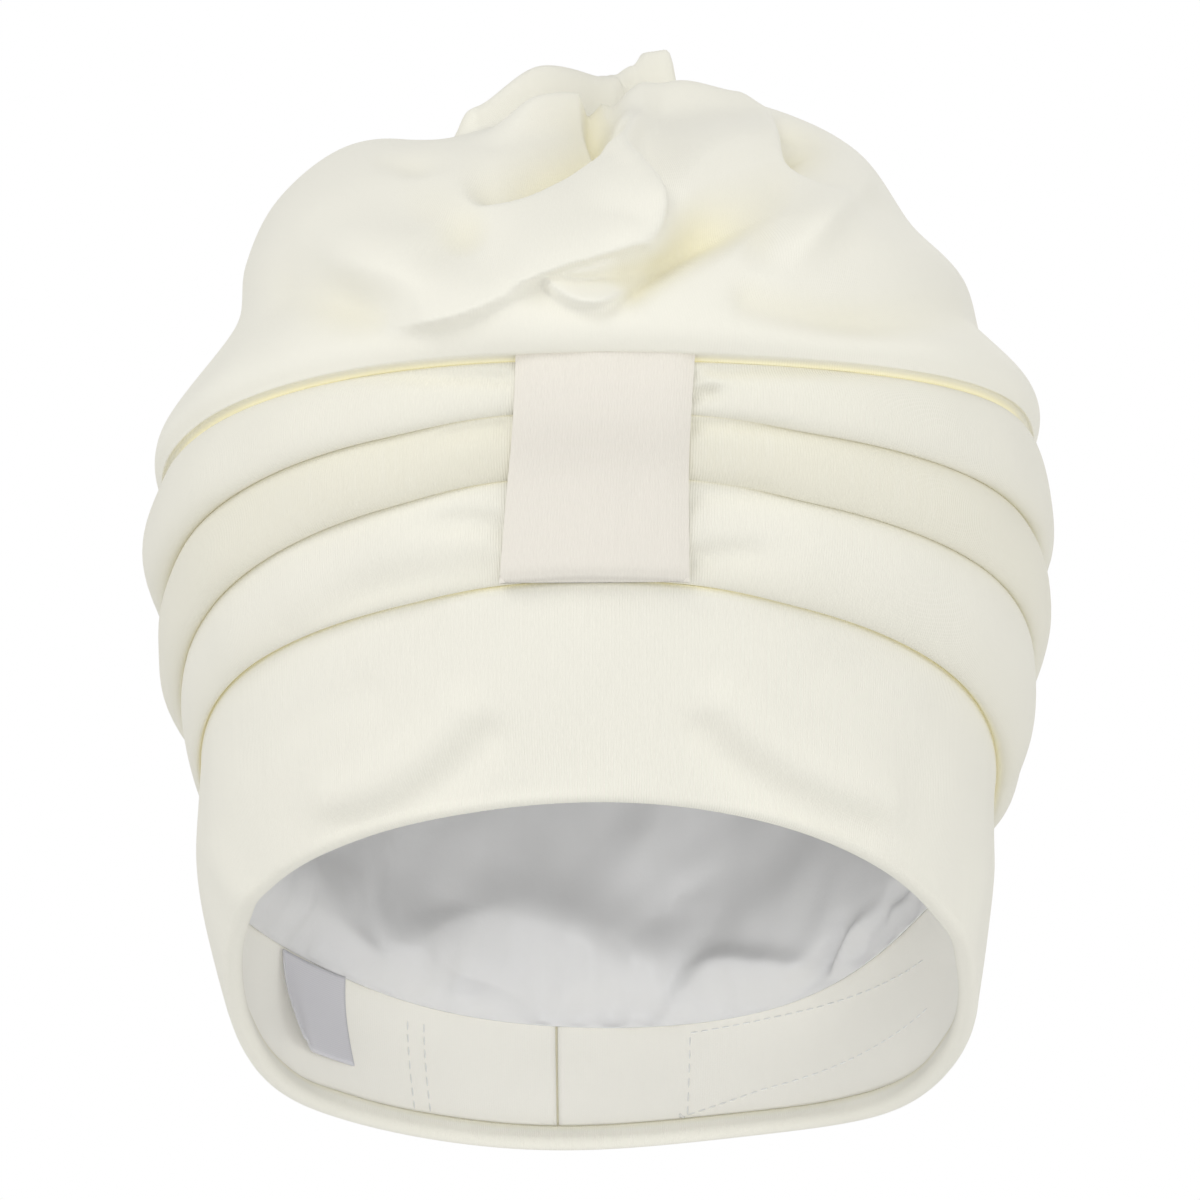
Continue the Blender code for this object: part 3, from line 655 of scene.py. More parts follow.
def label_cloth():
    """Blank woven satin tape."""
    finish = Finish("label_cloth")
    cloth = finish.node("ShaderNodeUVMap", {"uv_map": "cloth"})
    weave = finish.node(
        "ShaderNodeTexWave",
        {"wave_type": "BANDS", "bands_direction": "Y"},
        Vector=cloth,
        Scale=600.0,
    )
    bump = finish.node("ShaderNodeBump", None, Strength=0.2, Distance=0.00006, Height=weave)
    shade = finish.mix_colour(weave, LABEL_WHITE, LABEL_BRIGHT)
    finish.principled(Base_Color=shade, Roughness=0.55, Normal=bump)
    return finish.material


def thread(name, colour):
    """Twisted sewing thread."""
    finish = Finish(name)
    place = finish.node("ShaderNodeTexCoord", output=3)
    twist = finish.noise(place, 1400.0)
    darker = tuple(THREAD_SHADE * part for part in colour[:3]) + (1.0,)
    shade = finish.mix_colour(twist, colour, darker)
    finish.principled(Base_Color=shade, Roughness=0.7)
    return finish.material


def solid(name, places, across, crease=None, around=True, through=True, material=None):
    """A closed piece from rows of places in mm, with a cloth map and a painted crease shade value at each
    place.
    """
    rows, columns = places.shape[:2]
    wide = columns if around else columns - 1
    tall = rows if through else rows - 1
    maker = bmesh.new()
    cloth = maker.loops.layers.uv.new("cloth")
    depth = maker.verts.layers.float.new("crease")
    bmesh.ops.create_grid(maker, x_segments=wide, y_segments=tall, size=1.0)
    maker.verts.ensure_lookup_table()
    for index, vertex in enumerate(maker.verts):
        row, column = divmod(index, wide + 1)
        vertex.co = places[row % rows, column % columns] * MM
        if crease is not None:
            vertex[depth] = crease[row % rows, column % columns]
    spans = np.append(across, 2 * across[-1] - across[-2])
    for face in maker.faces:
        for loop in face.loops:
            row, column = divmod(loop.vert.index, wide + 1)
            loop[cloth].uv = (spans[column] * MM, row * MM)
    bmesh.ops.remove_doubles(maker, verts=maker.verts, dist=1e-7)
    if not around:
        bmesh.ops.holes_fill(maker, edges=[edge for edge in maker.edges if edge.is_boundary], sides=0)
    maker.normal_update()
    bmesh.ops.recalc_face_normals(maker, faces=maker.faces)
    return finish_piece(name, maker, material)


def finish_piece(name, maker, material):
    """Turns a filled bmesh into a smooth piece that rides on the cap."""
    mesh = bpy.data.meshes.new(name)
    maker.to_mesh(mesh)
    maker.free()
    mesh.shade_smooth()
    piece = bpy.data.objects.new(name, mesh)
    bpy.context.collection.objects.link(piece)
    mesh.materials.append(material)
    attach(piece, "root")
    return piece


def wrinkled_band(level, azimuth):
    """The band's outer face with its soft wrinkles and the rim's slight wave."""
    places = body(level, azimuth)
    x, y, z = np.moveaxis(places, -1, 0)
    in_front = 1 - ease((y - WRINKLES_END_Y) / WRINKLES_FADE_Y)
    stand = in_front * fold_sum(BAND_WRINKLES, x, z)[0]
    between = ease(level / 0.3) * ease((LEVEL["seam"] - level) / 0.3)
    stand = stand + BAND_SOFT * ripple(places, BAND_SOFT_LENGTH, 3) * between
    behind = ease((y - RIM_WAVE_START_Y) / RIM_WAVE_FADE_Y)
    near_rim = 1 - ease(level / RIM_WAVE_LEVELS)
    wave = RIM_WAVE * behind * np.sin(RIM_WAVES * azimuth + RIM_WAVE_TURN) * near_rim
    moved = places + outward(level, azimuth) * stand[..., None]
    moved[..., 2] += wave
    return moved


def make_headband(material):
    """The band's wall, with a round turned hem at the rim that stands inwards."""
    azimuth = azimuths()
    hem_level = HEM_HEIGHT / BAND_HEIGHT * LEVEL["seam"]
    top = LEVEL["seam"] - GAP / 2 / BAND_HEIGHT * LEVEL["seam"]
    levels = np.linspace(top, BAND_LOW, BAND_ROWS)
    rows = [wrinkled_band(*grid_of(levels, azimuth))]
    # Painted shade: the crease value darkens the band just under the seam.
    crease_shades = [ease((levels - SEAM_SHADE_FROM) / SEAM_SHADE_FADE)[:, None] * np.ones(COLUMNS)]
    level, turned = grid_of((0.0,), azimuth)
    rim = wrinkled_band(level, turned)
    out = outward(level, turned)
    up = upward(level, turned)
    radius = HEM_THICK / 2
    for step in range(HEM_ROUND_STEPS + 1):
        angle = pi * step / HEM_ROUND_STEPS
        place = rim + up * radius - out * radius * (1 - cos(angle)) - up * radius * sin(angle)
        rows.append(place)
        crease_shades.append(np.zeros((1, COLUMNS)))
    inner_level, turned = grid_of(np.linspace(BAND_LOW, hem_level, HEM_INNER_ROWS), azimuth)
    rows.append(wrinkled_band(inner_level, turned) - outward(inner_level, turned) * HEM_THICK)
    # Painted shade rising up the hem's inner rows.
    crease_shades.append(np.linspace(0, HEM_INNER_SHADE, HEM_INNER_ROWS)[:, None] * np.ones(COLUMNS))
    inside = grid_of(np.linspace(hem_level + 0.01, top, BAND_INNER_ROWS), azimuth)
    rows.append(wrinkled_band(*inside) - outward(*inside) * WALL)
    # Painted shade on the band's inside.
    crease_shades.append(np.ones((BAND_INNER_ROWS, COLUMNS)) * BAND_INNER_SHADE)
    piece = solid(
        "headband_cloth",
        np.concatenate(rows),
        azimuth * FACE_RADIUS,
        np.concatenate(crease_shades),
        material=material,
    )
    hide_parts("headband")
    return piece


def roll_depth(roll, azimuth):
    """How far a roll stands out at each azimuth."""
    sine = np.sin(azimuth)
    cosine = np.cos(azimuth)
    side = (roll.left + roll.right) / 2 + (roll.right - roll.left) / 2 * sine
    ends = (roll.front + roll.back) / 2 + (roll.front - roll.back) / 2 * cosine
    depth = side * sine**2 + ends * cosine**2
    return PINCHED_DEPTH + (depth - PINCHED_DEPTH) * off_tab(azimuth)


def roll_places(roll, station, azimuth, share=1.0, inset=0.0):
    """Places on a roll's section, from its crease at station 0 to the next crease at station 1."""
    turn = pi * (station - 0.5)
    rise = 0.5 + 0.5 * np.sin(turn)
    level = LEVEL[roll.crease] + rise
    wave = ripple(body(level, azimuth), ROLL_UNEVEN_LENGTH, 11 + LEVEL[roll.crease])
    uneven = 1 + ROLL_UNEVEN * share * wave * off_tab(azimuth)
    stand = roll_depth(roll, azimuth) * np.cos(turn) * (1 - ROLL_RECESS * rise**2) * share * uneven
    droop = ROLL_DROOP * off_tab(azimuth) * share * np.cos(turn) * (1 - rise) ** 2
    out = outward(level, azimuth)
    hung = upward(level, azimuth) * droop[..., None]
    places = body(level, azimuth) + out * (stand - inset)[..., None] - hung
    x, y, z = np.moveaxis(places, -1, 0)
    in_front = 1 - ease((y - FRONT_FOLDS_END_Y) / FOLD_FADE_Y)
    folds = share * in_front * np.maximum(np.cos(turn), 0) ** 0.5 * fold_sum(ROLL_FOLDS, x, z)[0]
    return places + out * folds[..., None]


def make_pleated_panel(material):
    """Three stacked rolls between the band's seam and the crown."""
    azimuth = azimuths()
    outside = []
    inside = []
    crease_shades = []
    stations = np.linspace(0, 1, ROLL_ROWS, endpoint=False) ** ROLL_ROW_SPREAD
    roll_shades = dict(zip(ROLLS, ROLL_PAINTED_SHADES))
    for roll in ROLLS:
        station, turned = grid_of(stations, azimuth)
        outside.append(roll_places(roll, station, turned))
        # Painted shade: yellowed near both creases and on the roll's underside.
        low = np.exp(-((station / CREASE_REACH_LOW) ** 2))
        high = np.exp(-(((1 - station) / CREASE_REACH_HIGH) ** 2))
        under = UNDER_SHADE * np.exp(-((station / UNDER_REACH) ** 2))
        # Painted shade on the roll's front, strongest at the brow.
        roll_shade = roll_shades[roll] * (0.5 + 0.5 * np.cos(turned))
        crease_shades.append(np.maximum(np.maximum(low, high) * CREASE_SHADE, np.maximum(under, roll_shade)))
        station, turned = grid_of(ROLL_INSIDE_STATIONS, azimuth)
        inside.append(roll_places(roll, station, turned, ROLL_INSIDE_SHARE, WALL))
    gap_share = GAP / 2 / (BAND_HEIGHT / 4)
    level, turned = grid_of((LEVEL["crease_1"] - gap_share,), azimuth)
    outside.append(body(level, turned))
    # Full painted shade along the top edge under the crown.
    crease_shades.append(np.ones(level.shape))
    inside.append(body(level, turned) - outward(level, turned) * WALL)
    outside[0][0] += upward(LEVEL["seam"], azimuth) * GAP / 2
    inside[0][0] += upward(LEVEL["seam"], azimuth) * GAP / 2
    hidden = np.concatenate(inside)[::-1]
    piece = solid(
        "pleated_panel_cloth",
        np.concatenate([np.concatenate(outside), hidden]),
        azimuth * ROLL_RADIUS,
        # The hidden inner face gets full painted shade.
        np.concatenate([np.concatenate(crease_shades), np.ones(hidden.shape[:2])]),
        material=material,
    )
    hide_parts("pleated_panel")
    return piece


def crown_face(level, azimuth, high=NO_LIMIT, inset=0.0):
    """The crown's folded face: front folds stand forward of the smooth face, top folds up from it."""
    places = body(level, azimuth)
    out = outward(np.maximum(level, STEADY_LEVEL), azimuth)
    x, y, z = np.moveaxis(places, -1, 0)
    in_front = 1 - ease((y - FRONT_FOLDS_END_Y) / FOLD_FADE_Y)
    on_top = ease((z - TOP_FOLDS_START_Z) / TOP_FOLDS_FADE_Z)
    front, lean = fold_sum(FRONT_FOLDS, x, z)
    front = in_front * front
    top = on_top * fold_sum(TOP_FOLDS, x, y)[0]
    between = ease((level - LEVEL["crease_1"]) / CROWN_SOFT_FADE) * ease(CROWN_CALM_LEVEL - level)
    soft = CROWN_SOFT * ripple(places, CROWN_SOFT_LENGTH, 5) * between
    forward = out.copy()
    forward[..., 2] *= FORWARD_LIFT + (1 - FORWARD_LIFT) * ease((out[..., 2] - FLAT_FROM) / FLAT_FADE)
    raised = places + np.minimum(top, high)[..., None] * np.array([0.0, 0.0, 1.0])
    if high > 0:
        raised[..., 0] += in_front * lean[..., 0]
        raised[..., 2] += in_front * lean[..., 1]
    return raised + unit(forward) * np.minimum(front, high)[..., None] + out * (soft - inset)[..., None]


def crown_crease_shade(level, azimuth):
    """How much painted crease shade each place on the crown gets, from 0 to 1, by the depth of its valleys
    and along its lower edge.
    """
    x, y, z = np.moveaxis(body(level, azimuth), -1, 0)
    in_front = 1 - ease((y - FRONT_FOLDS_END_Y) / FOLD_FADE_Y)
    deep = -in_front * np.minimum(fold_sum(FRONT_FOLDS, x, z)[0], 0)
    edge = np.exp(-(((level - LEVEL["crease_1"]) / CROWN_EDGE_LEVELS) ** 2))
    edge = edge * (CROWN_EDGE_BEHIND + (1 - CROWN_EDGE_BEHIND) * in_front)
    return np.clip(np.maximum(deep / CROWN_DEEP, edge), 0, 1)


def make_crown(material):
    """The draped crown: its low roll hangs over the panel and its folds run to the twist."""
    azimuth = azimuths()
    shares = (0.0, CROWN_ROWS_BELOW_GATHERS, 1.0)
    marks = (LEVEL["crease_1"], LAST_LEVEL - GATHERS_BELOW_TWIST, LAST_LEVEL - CROWN_ROWS_END)
    levels = np.interp(np.linspace(0, 1, CROWN_ROWS), shares, marks)
    outside = grid_of((*levels, LAST_LEVEL), azimuth)
    outer = crown_face(*outside)
    inside = grid_of((*levels[::CROWN_INSIDE_STEP], LAST_LEVEL), azimuth)
    inner = crown_face(*inside, high=CROWN_INSIDE_HIGH, inset=CROWN_INSIDE_INSET)
    inner[0] = outer[0] - outward(*inside)[0] * WALL
    outer[-1] = outer[-1].mean(axis=0)
    inner[-1] = inner[-1].mean(axis=0)
    # Painted crease shade: full on the inside, by valley depth and lower edge outside.
    crease_shades = np.concatenate([np.ones(inner.shape[:2]), crown_crease_shade(*outside)])
    piece = solid(
        "crown_cloth",
        np.concatenate([inner[::-1], outer]),
        azimuth * FACE_RADIUS,
        crease_shades,
        through=False,
        material=material,
    )
    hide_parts("crown")
    return piece


def make_inner_band(material):
    """The facing strip inside the band, whose ends butt at the nape."""
    end = pi + np.arcsin(-FACING_END_X / RINGS[LEVEL["rim"]].half_left)
    half_gap = FACING_END_GAP / 2 / RINGS[LEVEL["rim"]].half_left
    columns = np.linspace(end - 2 * pi + half_gap, end - half_gap, COLUMNS + 1)
    share, columns_grid = grid_of(np.linspace(0, 1, FACING_ROWS), columns)
    outside = (FACING_LOW + share * (FACING_TOP + hem_lift(columns_grid) - FACING_LOW), columns_grid)
    wall = wrinkled_band(*outside)
    out = outward(*outside)
    bulge = FACING_BULGE * ripple(wall, FACING_BULGE_LENGTH, 21) * (1 - (2 * share - 1) ** 2)
    outer = wall - out * (WALL + GAP)
    inner = wall - out * (WALL + GAP + FACING_THICK + np.clip(bulge, *FACING_BULGE_LIMITS))[..., None]
    piece = solid(
        "inner_band_cloth",
        np.concatenate([outer, inner[::-1]]),
        columns * INSIDE_RADIUS,
        np.zeros((2 * FACING_ROWS, COLUMNS + 1)),
        around=False,
        material=material,
    )
    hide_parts("inner_band")
    return piece


def hem_lift(azimuth):
    """How many levels higher the facing's top and the lining's hem lie, which rise at both sides."""
    turned = np.degrees((azimuth + pi) % (2 * pi) - pi)
    left = LIFT_LEFT * np.exp(-(((turned - LIFT_LEFT_AT) / LIFT_WIDTH) ** 2))
    return left + LIFT_RIGHT * np.exp(-(((turned - LIFT_RIGHT_AT) / LIFT_WIDTH) ** 2))


def lining_face(row, azimuth, deeper):
    """The lining's face at a row of its inset table, this much deeper than its outer one."""
    levels = np.array([entry.level for entry in LINING_INSETS])
    insets = np.array([entry.inset for entry in LINING_INSETS])
    lift = np.array(LINING_LIFT_SHARES)[:, None] * hem_lift(azimuth[0])
    sections = (levels[:, None] + lift, np.broadcast_to(azimuth[0], lift.shape))
    wall = body(*sections) - outward(*sections) * insets[:, None, None]
    out = outward(*sections)
    columns = wall.shape[1]
    table = np.concatenate([wall.reshape(len(levels), -1), out.reshape(len(levels), -1)], axis=1)
    values = smooth_table(table, row[:, 0])
    places = values[:, : columns * 3].reshape(-1, columns, 3)
    out = unit(values[:, columns * 3 :].reshape(-1, columns, 3))
    free = ease(row / LINING_FREE_FROM) * (1 - ease((row - LINING_CALM_FROM) / LINING_CALM_FADE))
    near_hem = ease(row / 0.5) * np.exp(-((row / LINING_GATHER_ROWS) ** 2))
    turn = LINING_GATHERS * azimuth + 2.0 * ripple(places, 30.0, 31)
    gathers = LINING_GATHER_HEIGHT * near_hem * np.sin(turn)
    flattened = places * np.array(LINING_BILLOW_FLATTEN)
    billow = LINING_BILLOW * free * ripple(flattened, LINING_BILLOW_LENGTH, 37)
    crumple = LINING_CRUMPLE * free * ripple(places, LINING_CRUMPLE_LENGTH, 41)
    creasy = -LINING_CREASE * free * np.abs(ripple(places, LINING_CREASE_LENGTH, 43, 3))
    x, y, z = np.moveaxis(places, -1, 0)
    behind = ease((y - LINING_FOLDS_START_Y) / LINING_FOLDS_FADE_Y) * ease(row / 1.2)
    folds = behind * fold_sum(LINING_FOLDS, x, z)[0]
    stand = deeper + np.maximum(gathers + billow + crumple + creasy + folds, LINING_NEAREST)
    return places - out * stand[..., None]


def make_lining_cap(material):
    """The thin lining, sewn inside the facing's top edge and closed over the head."""
    azimuth = azimuths()
    sections = grid_of(np.linspace(0, len(LINING_INSETS) - 1, LINING_ROWS), azimuth)
    outer = lining_face(*sections, 0.0)
    inner = lining_face(*sections, LINING_THICK)
    top = outer[-1].mean(axis=0)
    outer = np.concatenate([outer, np.broadcast_to(top, outer[:1].shape)])
    inner = np.concatenate([inner, np.broadcast_to(top - np.array([0, 0, LINING_THICK]), inner[:1].shape)])
    places = np.concatenate([outer[::-1], inner])
    piece = solid(
        "lining_cap_film",
        places,
        azimuth * INSIDE_RADIUS,
        np.zeros(places.shape[:2]),
        through=False,
        material=material,
    )
    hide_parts("lining_cap")
    return piece


def tab_face(share, across, thick):
    """The tab's face at a height over the pinched rolls; its side edges turn down."""
    level = LEVEL["seam"] + share * (LEVEL["crease_1"] - LEVEL["seam"])
    half = TAB_HALF_BOTTOM + (TAB_HALF_TOP - TAB_HALF_BOTTOM) * share
    x = TAB_LEAN * (share - 0.5) + half * across
    azimuth = np.arcsin(x / FACE_RADIUS)
    edge = TAB_EDGE_DROP * np.abs(across) ** 6
    soft = TAB_SOFT * np.sin(across * 6.0 + share * 1.5 + 0.6) * (1 - across**2)
    tucked = ease((share - TAB_TUCK_FROM) / (TAB_HIGH - TAB_TUCK_FROM))
    stand = PINCHED_DEPTH + GAP + thick * (1 - 0.5 * tucked) - np.where(thick > 0.3, edge - soft, 0.0)
    places = body(level, azimuth) + outward(level, azimuth) * stand[..., None]
    places[..., 0] = x + TAB_WAIST * np.sin(pi * share) * np.sign(-across) * np.abs(across) ** 3
    places[..., 2] += TAB_RISE * tucked
    return places


def make_centre_tab(material):
    """The upright tab over the pinched rolls."""
    rows = np.linspace(TAB_LOW, TAB_HIGH, TAB_ROWS)
    columns = np.sin(np.linspace(-pi / 2, pi / 2, TAB_COLUMNS))
    share, across = np.meshgrid(rows, columns, indexing="ij")
    end_drop = TAB_END_DROP * ease((TAB_END_FROM - share) / TAB_END_FADE)
    under = tab_face(share, across, np.zeros(share.shape))
    over = tab_face(share, across, TAB_THICK - end_drop)
    loop = np.concatenate([under, over[:, ::-1]], axis=1)
    piece = solid(
        "centre_tab_cloth",
        loop,
        np.concatenate([columns, 2 + columns]) * TAB_HALF_TOP,
        np.zeros(loop.shape[:2]),
        through=False,
        material=material,
    )
    close_ends(piece)
    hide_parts("centre_tab")
    return piece


def close_ends(piece):
    """Fills the two open ends of a flat tube."""
    maker = bmesh.new()
    maker.from_mesh(piece.data)
    bmesh.ops.holes_fill(maker, edges=[edge for edge in maker.edges if edge.is_boundary], sides=0)
    bmesh.ops.recalc_face_normals(maker, faces=maker.faces)
    maker.to_mesh(piece.data)
    maker.free()
    piece.data.shade_smooth()


def make_care_label(material):
    """The folded label that hangs over the facing just under the lining's hem, blank."""
    middle = radians(LABEL_AZIMUTH)
    half = LABEL_WIDTH / 2 / RINGS[LEVEL["band"]].half_left
    low = LABEL_TOP - LABEL_HEIGHT / BAND_HEIGHT * LEVEL["seam"]
    columns = np.linspace(middle - half, middle + half, LABEL_COLUMNS)
    patch = grid_of(np.linspace(low, LABEL_TOP, LABEL_ROWS), columns)
    drop = (LABEL_TOP - patch[0]) / (LABEL_TOP - low)
    across = (patch[1] - middle) / half
    corner = ease((across - LABEL_CORNER_FROM) / (1 - LABEL_CORNER_FROM))
    lift = drop**1.5 * (LABEL_CURL + LABEL_CORNER * corner)
    depth = WALL + GAP + FACING_THICK + LABEL_LIFT + lift
    wall = wrinkled_band(*patch)
    outer = wall - outward(*patch) * depth[..., None]
    inner = wall - outward(*patch) * (depth + LABEL_THICK)[..., None]
    piece = solid(
        "care_label_tape",
        np.concatenate([outer, inner[::-1]]),
        columns * RINGS[LEVEL["band"]].half_left,
        np.zeros((2 * LABEL_ROWS, LABEL_COLUMNS)),
        around=False,
        material=material,
    )
    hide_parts("care_label")
    return piece


def facing_place(level, azimuth, inset):
    """A place on the facing's seen side."""
    place = (np.array(level), np.array(azimuth))
    return wrinkled_band(*place) - outward(*place) * (WALL + GAP + FACING_THICK + inset)


class SewnLine(NamedTuple):
    """A row of stitches on the facing: its ends as level and azimuth in degrees, and how many stitches."""

    level_from: float
    azimuth_from: float
    level_to: float
    azimuth_to: float
    stitches: int


SEWN_LINES = (
    SewnLine(0.32, -148.8, 1.14, -148.8, 7),
    SewnLine(0.32, -151.6, 1.14, -151.6, 7),
    SewnLine(0.33, 165.5, 1.10, 165.5, 6),
    SewnLine(1.10, 165.5, 1.16, 151.6, 8),
    SewnLine(1.16, 151.6, 1.25, 120.0, 17),
    SewnLine(0.33, 165.5, 0.50, 153.4, 7),
    SewnLine(0.50, 153.4, 0.80, 118.0, 20),
)
STITCH_SHARE = 0.72
STITCH_RADIUS = 0.22
STITCH_LIFT = 0.12
KNOT_LEVEL = 0.31
KNOT_AZIMUTH = 166.4
KNOT_LIFT = 0.5
KNOT_TURNS = 5


def add_stitch(maker, start, end, radius):
    """One thread stitch as a long bead between two places, in mm."""
    start = Vector(start)
    end = Vector(end)
    way = end - start
    turn = way.to_track_quat("Z", "Y").to_matrix().to_4x4()
    size = Matrix.Diagonal((radius * MM, radius * MM, way.length / 2 * MM, 1.0))
    place = Matrix.Translation((start + end) / 2 * MM) @ turn @ size
    bmesh.ops.create_uvsphere(maker, u_segments=8, v_segments=6, radius=1.0, matrix=place)


def make_stitches(material):
    """The sewn rows on the facing, and the knot at the box's corner."""
    maker = bmesh.new()
    for line in SEWN_LINES:
        shares = np.linspace(0, 1, line.stitches + 1)
        levels = line.level_from + (line.level_to - line.level_from) * shares
        turns = np.radians(line.azimuth_from + (line.azimuth_to - line.azimuth_from) * shares)
        for index in range(line.stitches):
            start = facing_place(levels[index], turns[index], STITCH_LIFT)
            end = facing_place(levels[index + 1], turns[index + 1], STITCH_LIFT)
            add_stitch(maker, start, start + (end - start) * STITCH_SHARE, STITCH_RADIUS)
    knot = facing_place(KNOT_LEVEL, radians(KNOT_AZIMUTH), KNOT_LIFT)
    for turn in range(KNOT_TURNS):
        way = np.array([cos(turn * 2.1), 0.4 * sin(turn * 3.3), sin(turn * 1.7)])
        add_stitch(maker, knot - way * 0.7, knot + way * 0.9, STITCH_RADIUS)
    return finish_piece("facing_stitches", maker, material)


HEM_SEAM_COLUMNS = 240
HEM_SEAM_SIDES = 8
HEM_SEAM_RADIUS = 0.45
HEM_SEAM_LEVEL = 0.27
HEM_SEAM_SUNK = 1.1


def make_hem_seam(material):
    """The thread line where the facing meets the turned hem."""
    azimuth = azimuths(HEM_SEAM_COLUMNS)
    level, turned = grid_of((HEM_SEAM_LEVEL,), azimuth)
    centre = (wrinkled_band(level, turned) - outward(level, turned) * (HEM_THICK - HEM_SEAM_SUNK))[0]
    out = outward(level, turned)[0]
    up = upward(level, turned)[0]
    rows = []
    for step in range(HEM_SEAM_SIDES):
        angle = 2 * pi * step / HEM_SEAM_SIDES
        rows.append(centre + (out * cos(angle) + up * sin(angle)) * HEM_SEAM_RADIUS)
    places = np.array(rows)
    return solid(
        "hem_seam_thread",
        places,
        azimuth * INSIDE_RADIUS,
        np.zeros(places.shape[:2]),
        material=material,
    )


CAMERA_PLACE = (0.0, -1.4, 0.0855)
CAMERA_LENS = 189.3
SENSOR_WIDTH = 36.0


def add_camera():
    """The photo's viewpoint: level, a little above the rim, with a long lens."""
    camera = bpy.data.objects.new("photo_camera", bpy.data.cameras.new("photo_camera"))
    camera.data.sensor_width = SENSOR_WIDTH
    camera.data.lens = CAMERA_LENS
    camera.location = CAMERA_PLACE
    camera.rotation_euler = (pi / 2, 0, 0)
    bpy.context.collection.objects.link(camera)
    bpy.context.scene.camera = camera


class SoftLight(NamedTuple):
    """A square area light: where it stands, what it faces, its side in metres and its watts."""

    name: str
    place: tuple
    target: tuple
    size: float
    power: float


LIGHTS = (
    SoftLight("key", (-0.8, -1.5, 1.6), (0.0, 0.0, 0.08), 1.0, 10.5),
    SoftLight("fill", (0.9, -1.7, 1.0), (0.0, 0.0, 0.05), 1.3, 4.5),
    SoftLight("top", (0.0, 0.1, 1.9), (0.0, 0.0, 0.1), 1.6, 1.0),
    SoftLight("low", (0.05, -1.9, 0.2), (0.0, 0.10, 0.0), 0.6, 3.2),
    SoftLight("side_plus_x", (1.8, -0.7, 0.15), (0.0, 0.0, 0.06), 1.0, 5.2),
    SoftLight("back", (0.4, 1.9, 0.9), (0.0, 0.0, 0.06), 1.2, 7.0),
    SoftLight("side_minus_x", (-1.8, -0.6, 0.15), (0.0, 0.0, 0.06), 1.0, 4.9),
)
FLOOR_DEPTH = -0.45
FLOOR_RADIUS = 2.4
WORLD_LIGHT = 0.54
WORLD_SEEN = 1.0
INSIDE_LIGHT_PLACE = (0.0, -0.75, -0.105)
INSIDE_LIGHT_TARGET = (0.0, 0.09, -0.045)
INSIDE_LIGHT_ANGLE = 15.0
INSIDE_LIGHT_BLEND = 0.8
INSIDE_LIGHT_RADIUS = 0.05
INSIDE_LIGHT_POWER = 4.8


def add_inside_light():
    """A narrow lamp under the brow that reaches the back of the lining."""
    lamp = bpy.data.lights.new("inside", "SPOT")
    lamp.energy = INSIDE_LIGHT_POWER
    lamp.spot_size = radians(INSIDE_LIGHT_ANGLE)
    lamp.spot_blend = INSIDE_LIGHT_BLEND
    lamp.shadow_soft_size = INSIDE_LIGHT_RADIUS
    place = bpy.data.objects.new("inside", lamp)
    place.location = INSIDE_LIGHT_PLACE
    aim = Vector(INSIDE_LIGHT_TARGET) - Vector(INSIDE_LIGHT_PLACE)
    place.rotation_euler = aim.to_track_quat("-Z", "Y").to_euler()
    bpy.context.collection.objects.link(place)


def add_lights():
    """The soft lights of the studio."""
    for light in LIGHTS:
        lamp = bpy.data.lights.new(light.name, "AREA")
        lamp.size = light.size
        lamp.energy = light.power
        place = bpy.data.objects.new(light.name, lamp)
        place.location = light.place
        aim = Vector(light.target) - Vector(light.place)
        place.rotation_euler = aim.to_track_quat("-Z", "Y").to_euler()
        bpy.context.collection.objects.link(place)


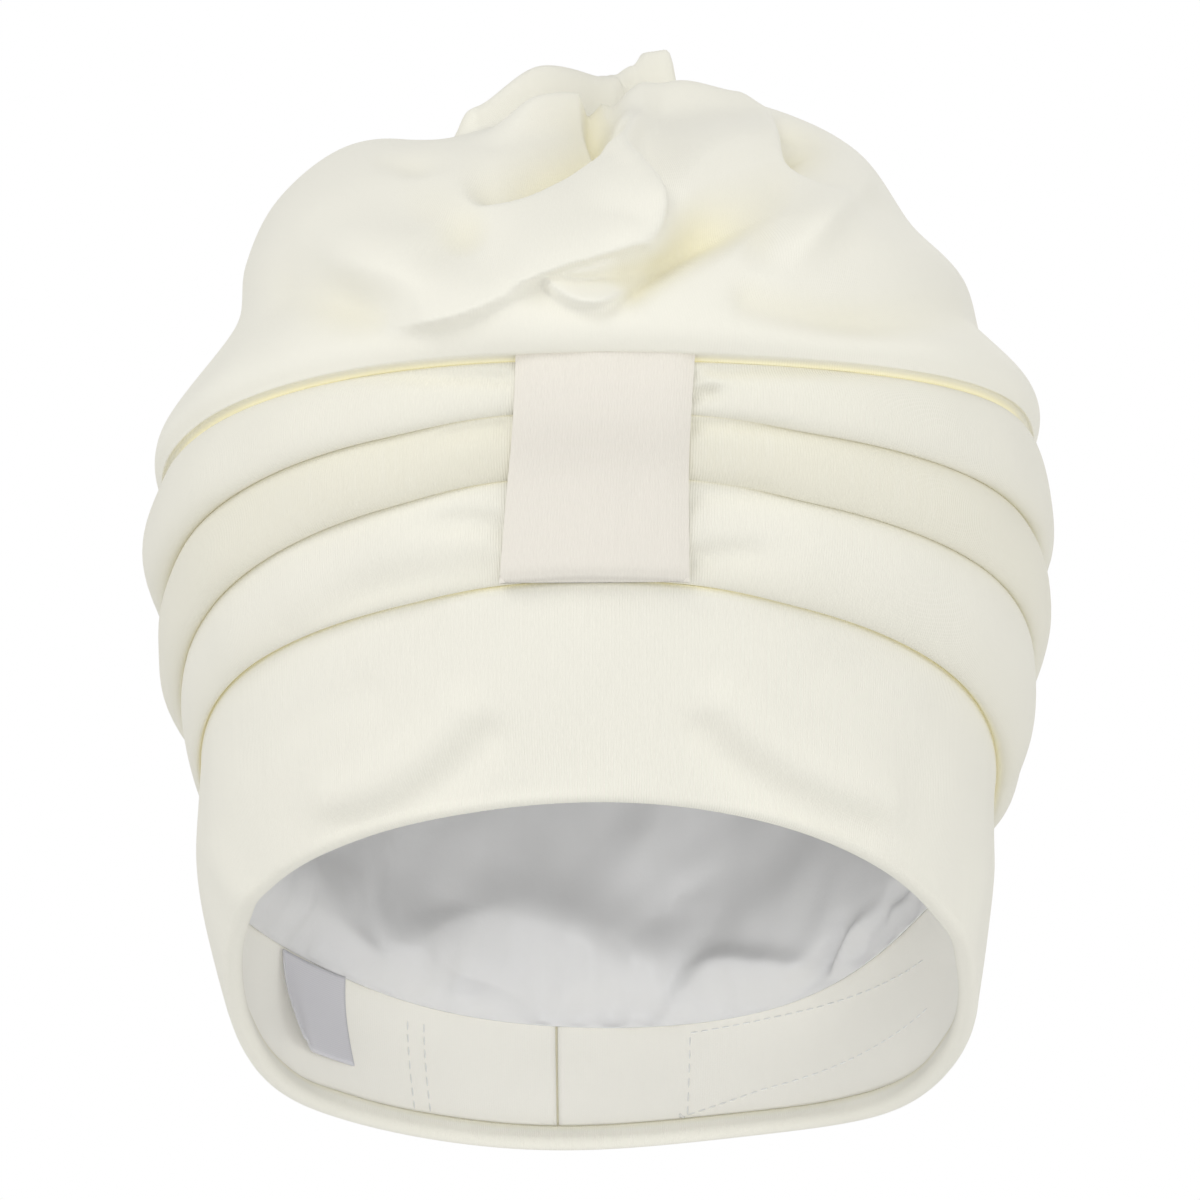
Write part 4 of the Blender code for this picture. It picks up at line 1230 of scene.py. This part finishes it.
def add_surroundings():
    """A white studio all round, and a pale floor well below the cap."""
    world = bpy.data.worlds.new("studio")
    world.use_nodes = True
    bpy.context.scene.world = world
    tree = world.node_tree
    sky = tree.nodes["Background"]
    path = tree.nodes.new("ShaderNodeLightPath")
    strength = tree.nodes.new("ShaderNodeMapRange")
    strength.inputs["To Min"].default_value = WORLD_LIGHT
    strength.inputs["To Max"].default_value = WORLD_SEEN
    tree.links.new(path.outputs["Is Camera Ray"], strength.inputs["Value"])
    tree.links.new(strength.outputs["Result"], sky.inputs["Strength"])
    sky.inputs["Color"].default_value = WHITE
    maker = bmesh.new()
    bmesh.ops.create_circle(maker, cap_ends=True, segments=96, radius=FLOOR_RADIUS)
    bmesh.ops.translate(maker, verts=maker.verts, vec=(0, 0, FLOOR_DEPTH))
    mesh = bpy.data.meshes.new("studio_floor")
    maker.to_mesh(mesh)
    maker.free()
    floor = bpy.data.objects.new("studio_floor", mesh)
    bpy.context.collection.objects.link(floor)
    finish = Finish("studio_floor")
    finish.principled(Base_Color=FLOOR_GREY, Roughness=0.9)
    finish.principled(Emission_Color=WHITE, Emission_Strength=FLOOR_GLOW)
    mesh.materials.append(finish.material)


add_camera()
add_lights()
add_inside_light()
add_surroundings()
bpy.context.scene.view_settings.view_transform = "Standard"

band_jersey = jersey("cream_jersey_band", CREAM, PAINTED_CREASE_SHADE, 1.0)
fold_jersey = jersey("cream_jersey_folds", CREAM, PAINTED_ROLL_CREASE_SHADE, 1.0)
crown_jersey = jersey("cream_jersey_crown", CREAM, PAINTED_CREASE_SHADE, 0.35)
tab_jersey = jersey("cream_jersey_tab", TAB_CREAM, PAINTED_CREASE_SHADE, 1.0)
# The facing glows all over in its own colour: painted light through the cloth.
facing_cloth = jersey("facing_jersey", FACING_CREAM, FACING_CREAM, 0.2, FACING_CREAM)

band = make_headband(band_jersey)
panel = make_pleated_panel(fold_jersey)
crown = make_crown(crown_jersey)
facing = make_inner_band(facing_cloth)
lining = make_lining_cap(lining_film())
tab = make_centre_tab(tab_jersey)
label = make_care_label(label_cloth())
stitches = make_stitches(thread("white_thread", THREAD_WHITE))
hem_seam = make_hem_seam(thread("yellow_thread", THREAD_YELLOW))
